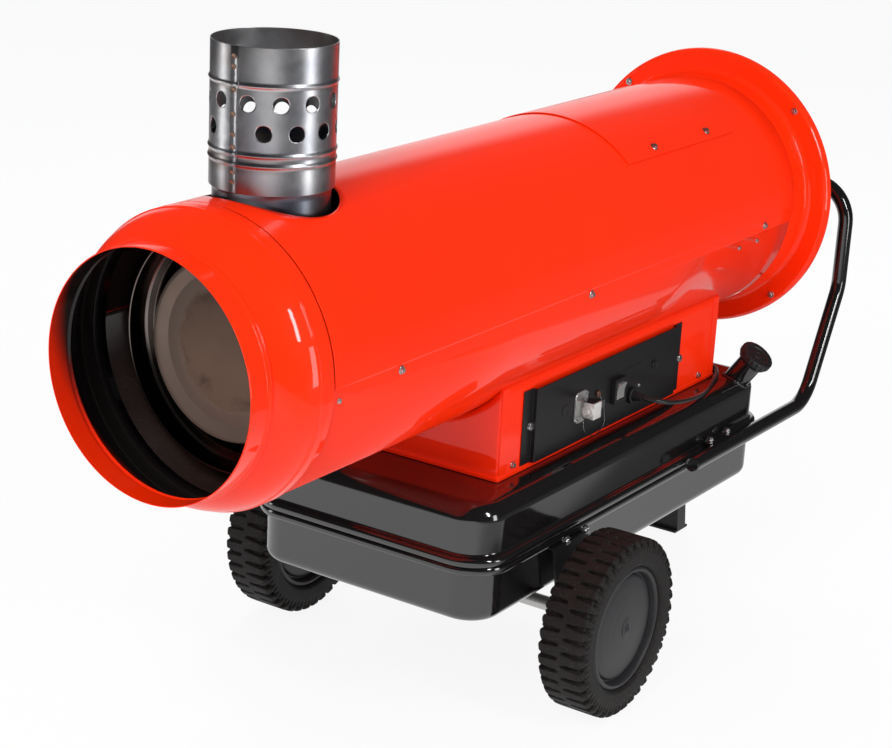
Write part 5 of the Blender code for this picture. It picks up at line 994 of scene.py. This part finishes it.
rocker_grey = two_tone("rocker_moulding", (0.16, 0.155, 0.15), (0.22, 0.215, 0.21), (150,), (0.3, 0.15), (900,))
softened("socket_bail", chromed, 0.0004, body="bail")
softened("socket_plug", hood_grey)
softened("switch_frame", black_moulding)
softened("switch_rocker", rocker_grey, 0.0007, body="rocker")
softened("button_bezel", black_moulding, 0.0004)
button_line = rounded([(0, -0.005), (0.0039, -0.005), (0.004, 0.0036), (0.0032, 0.0047), (0, 0.0048)], 0.0008, 3)
piece("reset_button_cap", turned(button_line, (FACE, at(0.929), 0.394), (1, 0, 0), 48), black_moulding,
      "reset_button", body="button")
leash = rounded([(FACE + 0.006, at(0.7235), 0.362), (0.156, at(0.72), 0.3545), (0.1545, at(0.733), 0.34),
                 (0.153, at(0.757), 0.332), (0.152, at(0.776), 0.333), (0.1515, at(0.789), 0.344),
                 (0.15, at(0.783), 0.372), (FACE + 0.002, at(0.77), 0.388)], 0.01, 6)
piece("cap_lanyard", swept(leash, 0.00055, 8), chromed, angle=60)


# Power cord: a rubber cable in a black gland. It runs over the tank's top, down behind the tank
# and into a coil on the floor, with a moulded plug at its end.
CORD_RADIUS, EXIT = 0.0035, (0.1689, at(GLAND_REACH), GLAND_HEIGHT)
COIL_RADIUS, COIL_PITCH = 0.0463, 0.0076
CORD_ROUTE = (
    (0.1689, 0.866, 0.363), (0.178, 0.8675, 0.3625), (0.187, 0.873, 0.361), (0.194, 0.8825, 0.359),
    (0.1978, 0.895, 0.3562), (0.199, 0.91, 0.3532), (0.1985, 0.928, 0.3496), (0.1965, 0.948, 0.3458),
    (0.1932, 0.97, 0.3415), (0.1885, 0.993, 0.3371), (0.1835, 1.016, 0.333), (0.1775, 1.04, 0.3296),
    (0.1705, 1.066, 0.3279),
    *((x, y, 0.3281) for x, y in (
        (0.1625, 1.092), (0.154, 1.119), (0.145, 1.144), (0.131, 1.1645), (0.112, 1.173), (0.085, 1.174), (0.02, 1.17),
        (-0.054, 1.1685), (-0.078, 1.17), (-0.095, 1.1765), (-0.1055, 1.188), (-0.1095, 1.2))),
    *((-0.11, y, z) for y, z in (
        (1.2125, 0.3253), (1.223, 0.3175), (1.23, 0.305), (1.233, 0.2885), (1.2345, 0.27), (1.235, 0.245),
        (1.236, 0.16), (1.237, 0.1), (1.2405, 0.065), (1.249, 0.037), (1.264, 0.016), (1.283, 0.0058),
        (1.303, 0.0038), (1.313, 0.0038), (1.323, 0.0038))))


def smooth_curve(points, fine=12):
    """A curve through all the points: between each two, a cubic whose slopes follow their neighbours."""
    points = np.asarray(points, float)
    ends = np.concatenate([[2 * points[0] - points[1]], points, [2 * points[-1] - points[-2]]])
    a, b, c, d = ends[:-3, None], ends[1:-2, None], ends[2:-1, None], ends[3:, None]
    t = (np.arange(fine) / fine)[None, :, None]
    curve = 0.5 * (2 * b + (c - a) * t + (2 * a - 5 * b + 4 * c - d) * t ** 2 + (3 * b - a - 3 * c + d) * t ** 3)
    return np.concatenate([curve.reshape(-1, 3), points[-1:]])


route = smooth_curve([(x, at(y), z) for x, y, z in CORD_ROUTE])
route = evenly(route, round(np.linalg.norm(np.diff(route, axis=0), axis=1).sum() / 0.009))
coil_start = route[-1] + (0, 0.0073, 0)
turns = np.linspace(0, 4.5, 163)
climb = np.clip((turns - 2.25) / 0.5 + 0.5, 0, 1)
coil_radius = COIL_RADIUS - COIL_PITCH * (np.minimum(turns, 2.25) - np.maximum(0, turns - 2.25))
coil = np.stack([coil_radius * np.cos(2 * pi * turns), coil_radius * np.sin(2 * pi * turns),
                 COIL_PITCH * climb ** 2 * (3 - 2 * climb)], 1) + coil_start - (COIL_RADIUS, 0, 0)
rise = 0.019 - coil[-1, 2]
tail = coil[-1] + np.array([(0, -0.005, 0.2), (0, -0.01, 0.4), (0, -0.015, 0.6), (0, -0.0195, 0.8), (0, -0.024, 1),
                            (0, -0.031, 1)]) * (1, 1, rise)
cord_line = np.concatenate([route, coil, tail])
cable_rubber = two_tone("cable_rubber", (0.008, 0.008, 0.008), (0.018, 0.017, 0.017), (40, 4), (0.22, 0.15), (300, 3),
                        (0.0001, 0.4), Specular_IOR_Level=0.45)
cord = piece("power_cable", swept(cord_line, CORD_RADIUS, 16), cable_rubber, "power_cord", "cord_coil", angle=60)

gland = rounded([(0.0037, 0.0003), (0.0118, 0.0003), (0.012, 0.0014), (0.012, 0.0046), (0.0112, 0.0056),
                 (0.0086, 0.0056), (0.0078, 0.0036), (0.0062, 0.0036), (0.0058, 0.01), (0.005, 0.0201),
                 (0.0037, 0.0201)], 0.0008, 4)
piece("gland", turned(gland, (FACE, at(GLAND_REACH), GLAND_HEIGHT), (1, 0, 0), 64, ring=True), black_moulding,
      "cable_gland", angle=35)
gland_screws = [((FACE, at(reach), height), (1, 0, 0)) for reach, height in ((0.8865, 0.373), (0.884, 0.3537))]
screws("gland_screws", gland_screws, 0.0052, sides=0, height=0.3, washer=1.15)

plug_place = cord_line[-1] - (0, 0.0003, 0)
plug_line = rounded([(0.0037, 0), (0.0063, 0), (0.0066, 0.003), (0.0058, 0.0034), (0.007, 0.0064), (0.0063, 0.0068),
                     (0.0085, 0.0102), (0.015, 0.0165), (0.0182, 0.02), (0.019, 0.0225), (0.019, 0.0405),
                     (0.0178, 0.042), (0, 0.042)], 0.0008, 3)
plug_line = np.concatenate([plug_line, [(0, 0.001), (0.0037, 0)]])
plug = piece("cord_plug", turned(plug_line, plug_place, (0, -1, 0), 64), black_moulding, "power_plug",
             angle=35)
pin_line = rounded([(0, 0.041), (0.0024, 0.041), (0.0024, 0.06), (0.0014, 0.061), (0, 0.061)], 0.0006, 3)
pins = piece("plug_pins", [turned(pin_line, plug_place + (part * 0.0095, 0, 0), (0, -1, 0), 24) for part in (-1, 1)],
             zinc, angle=35)
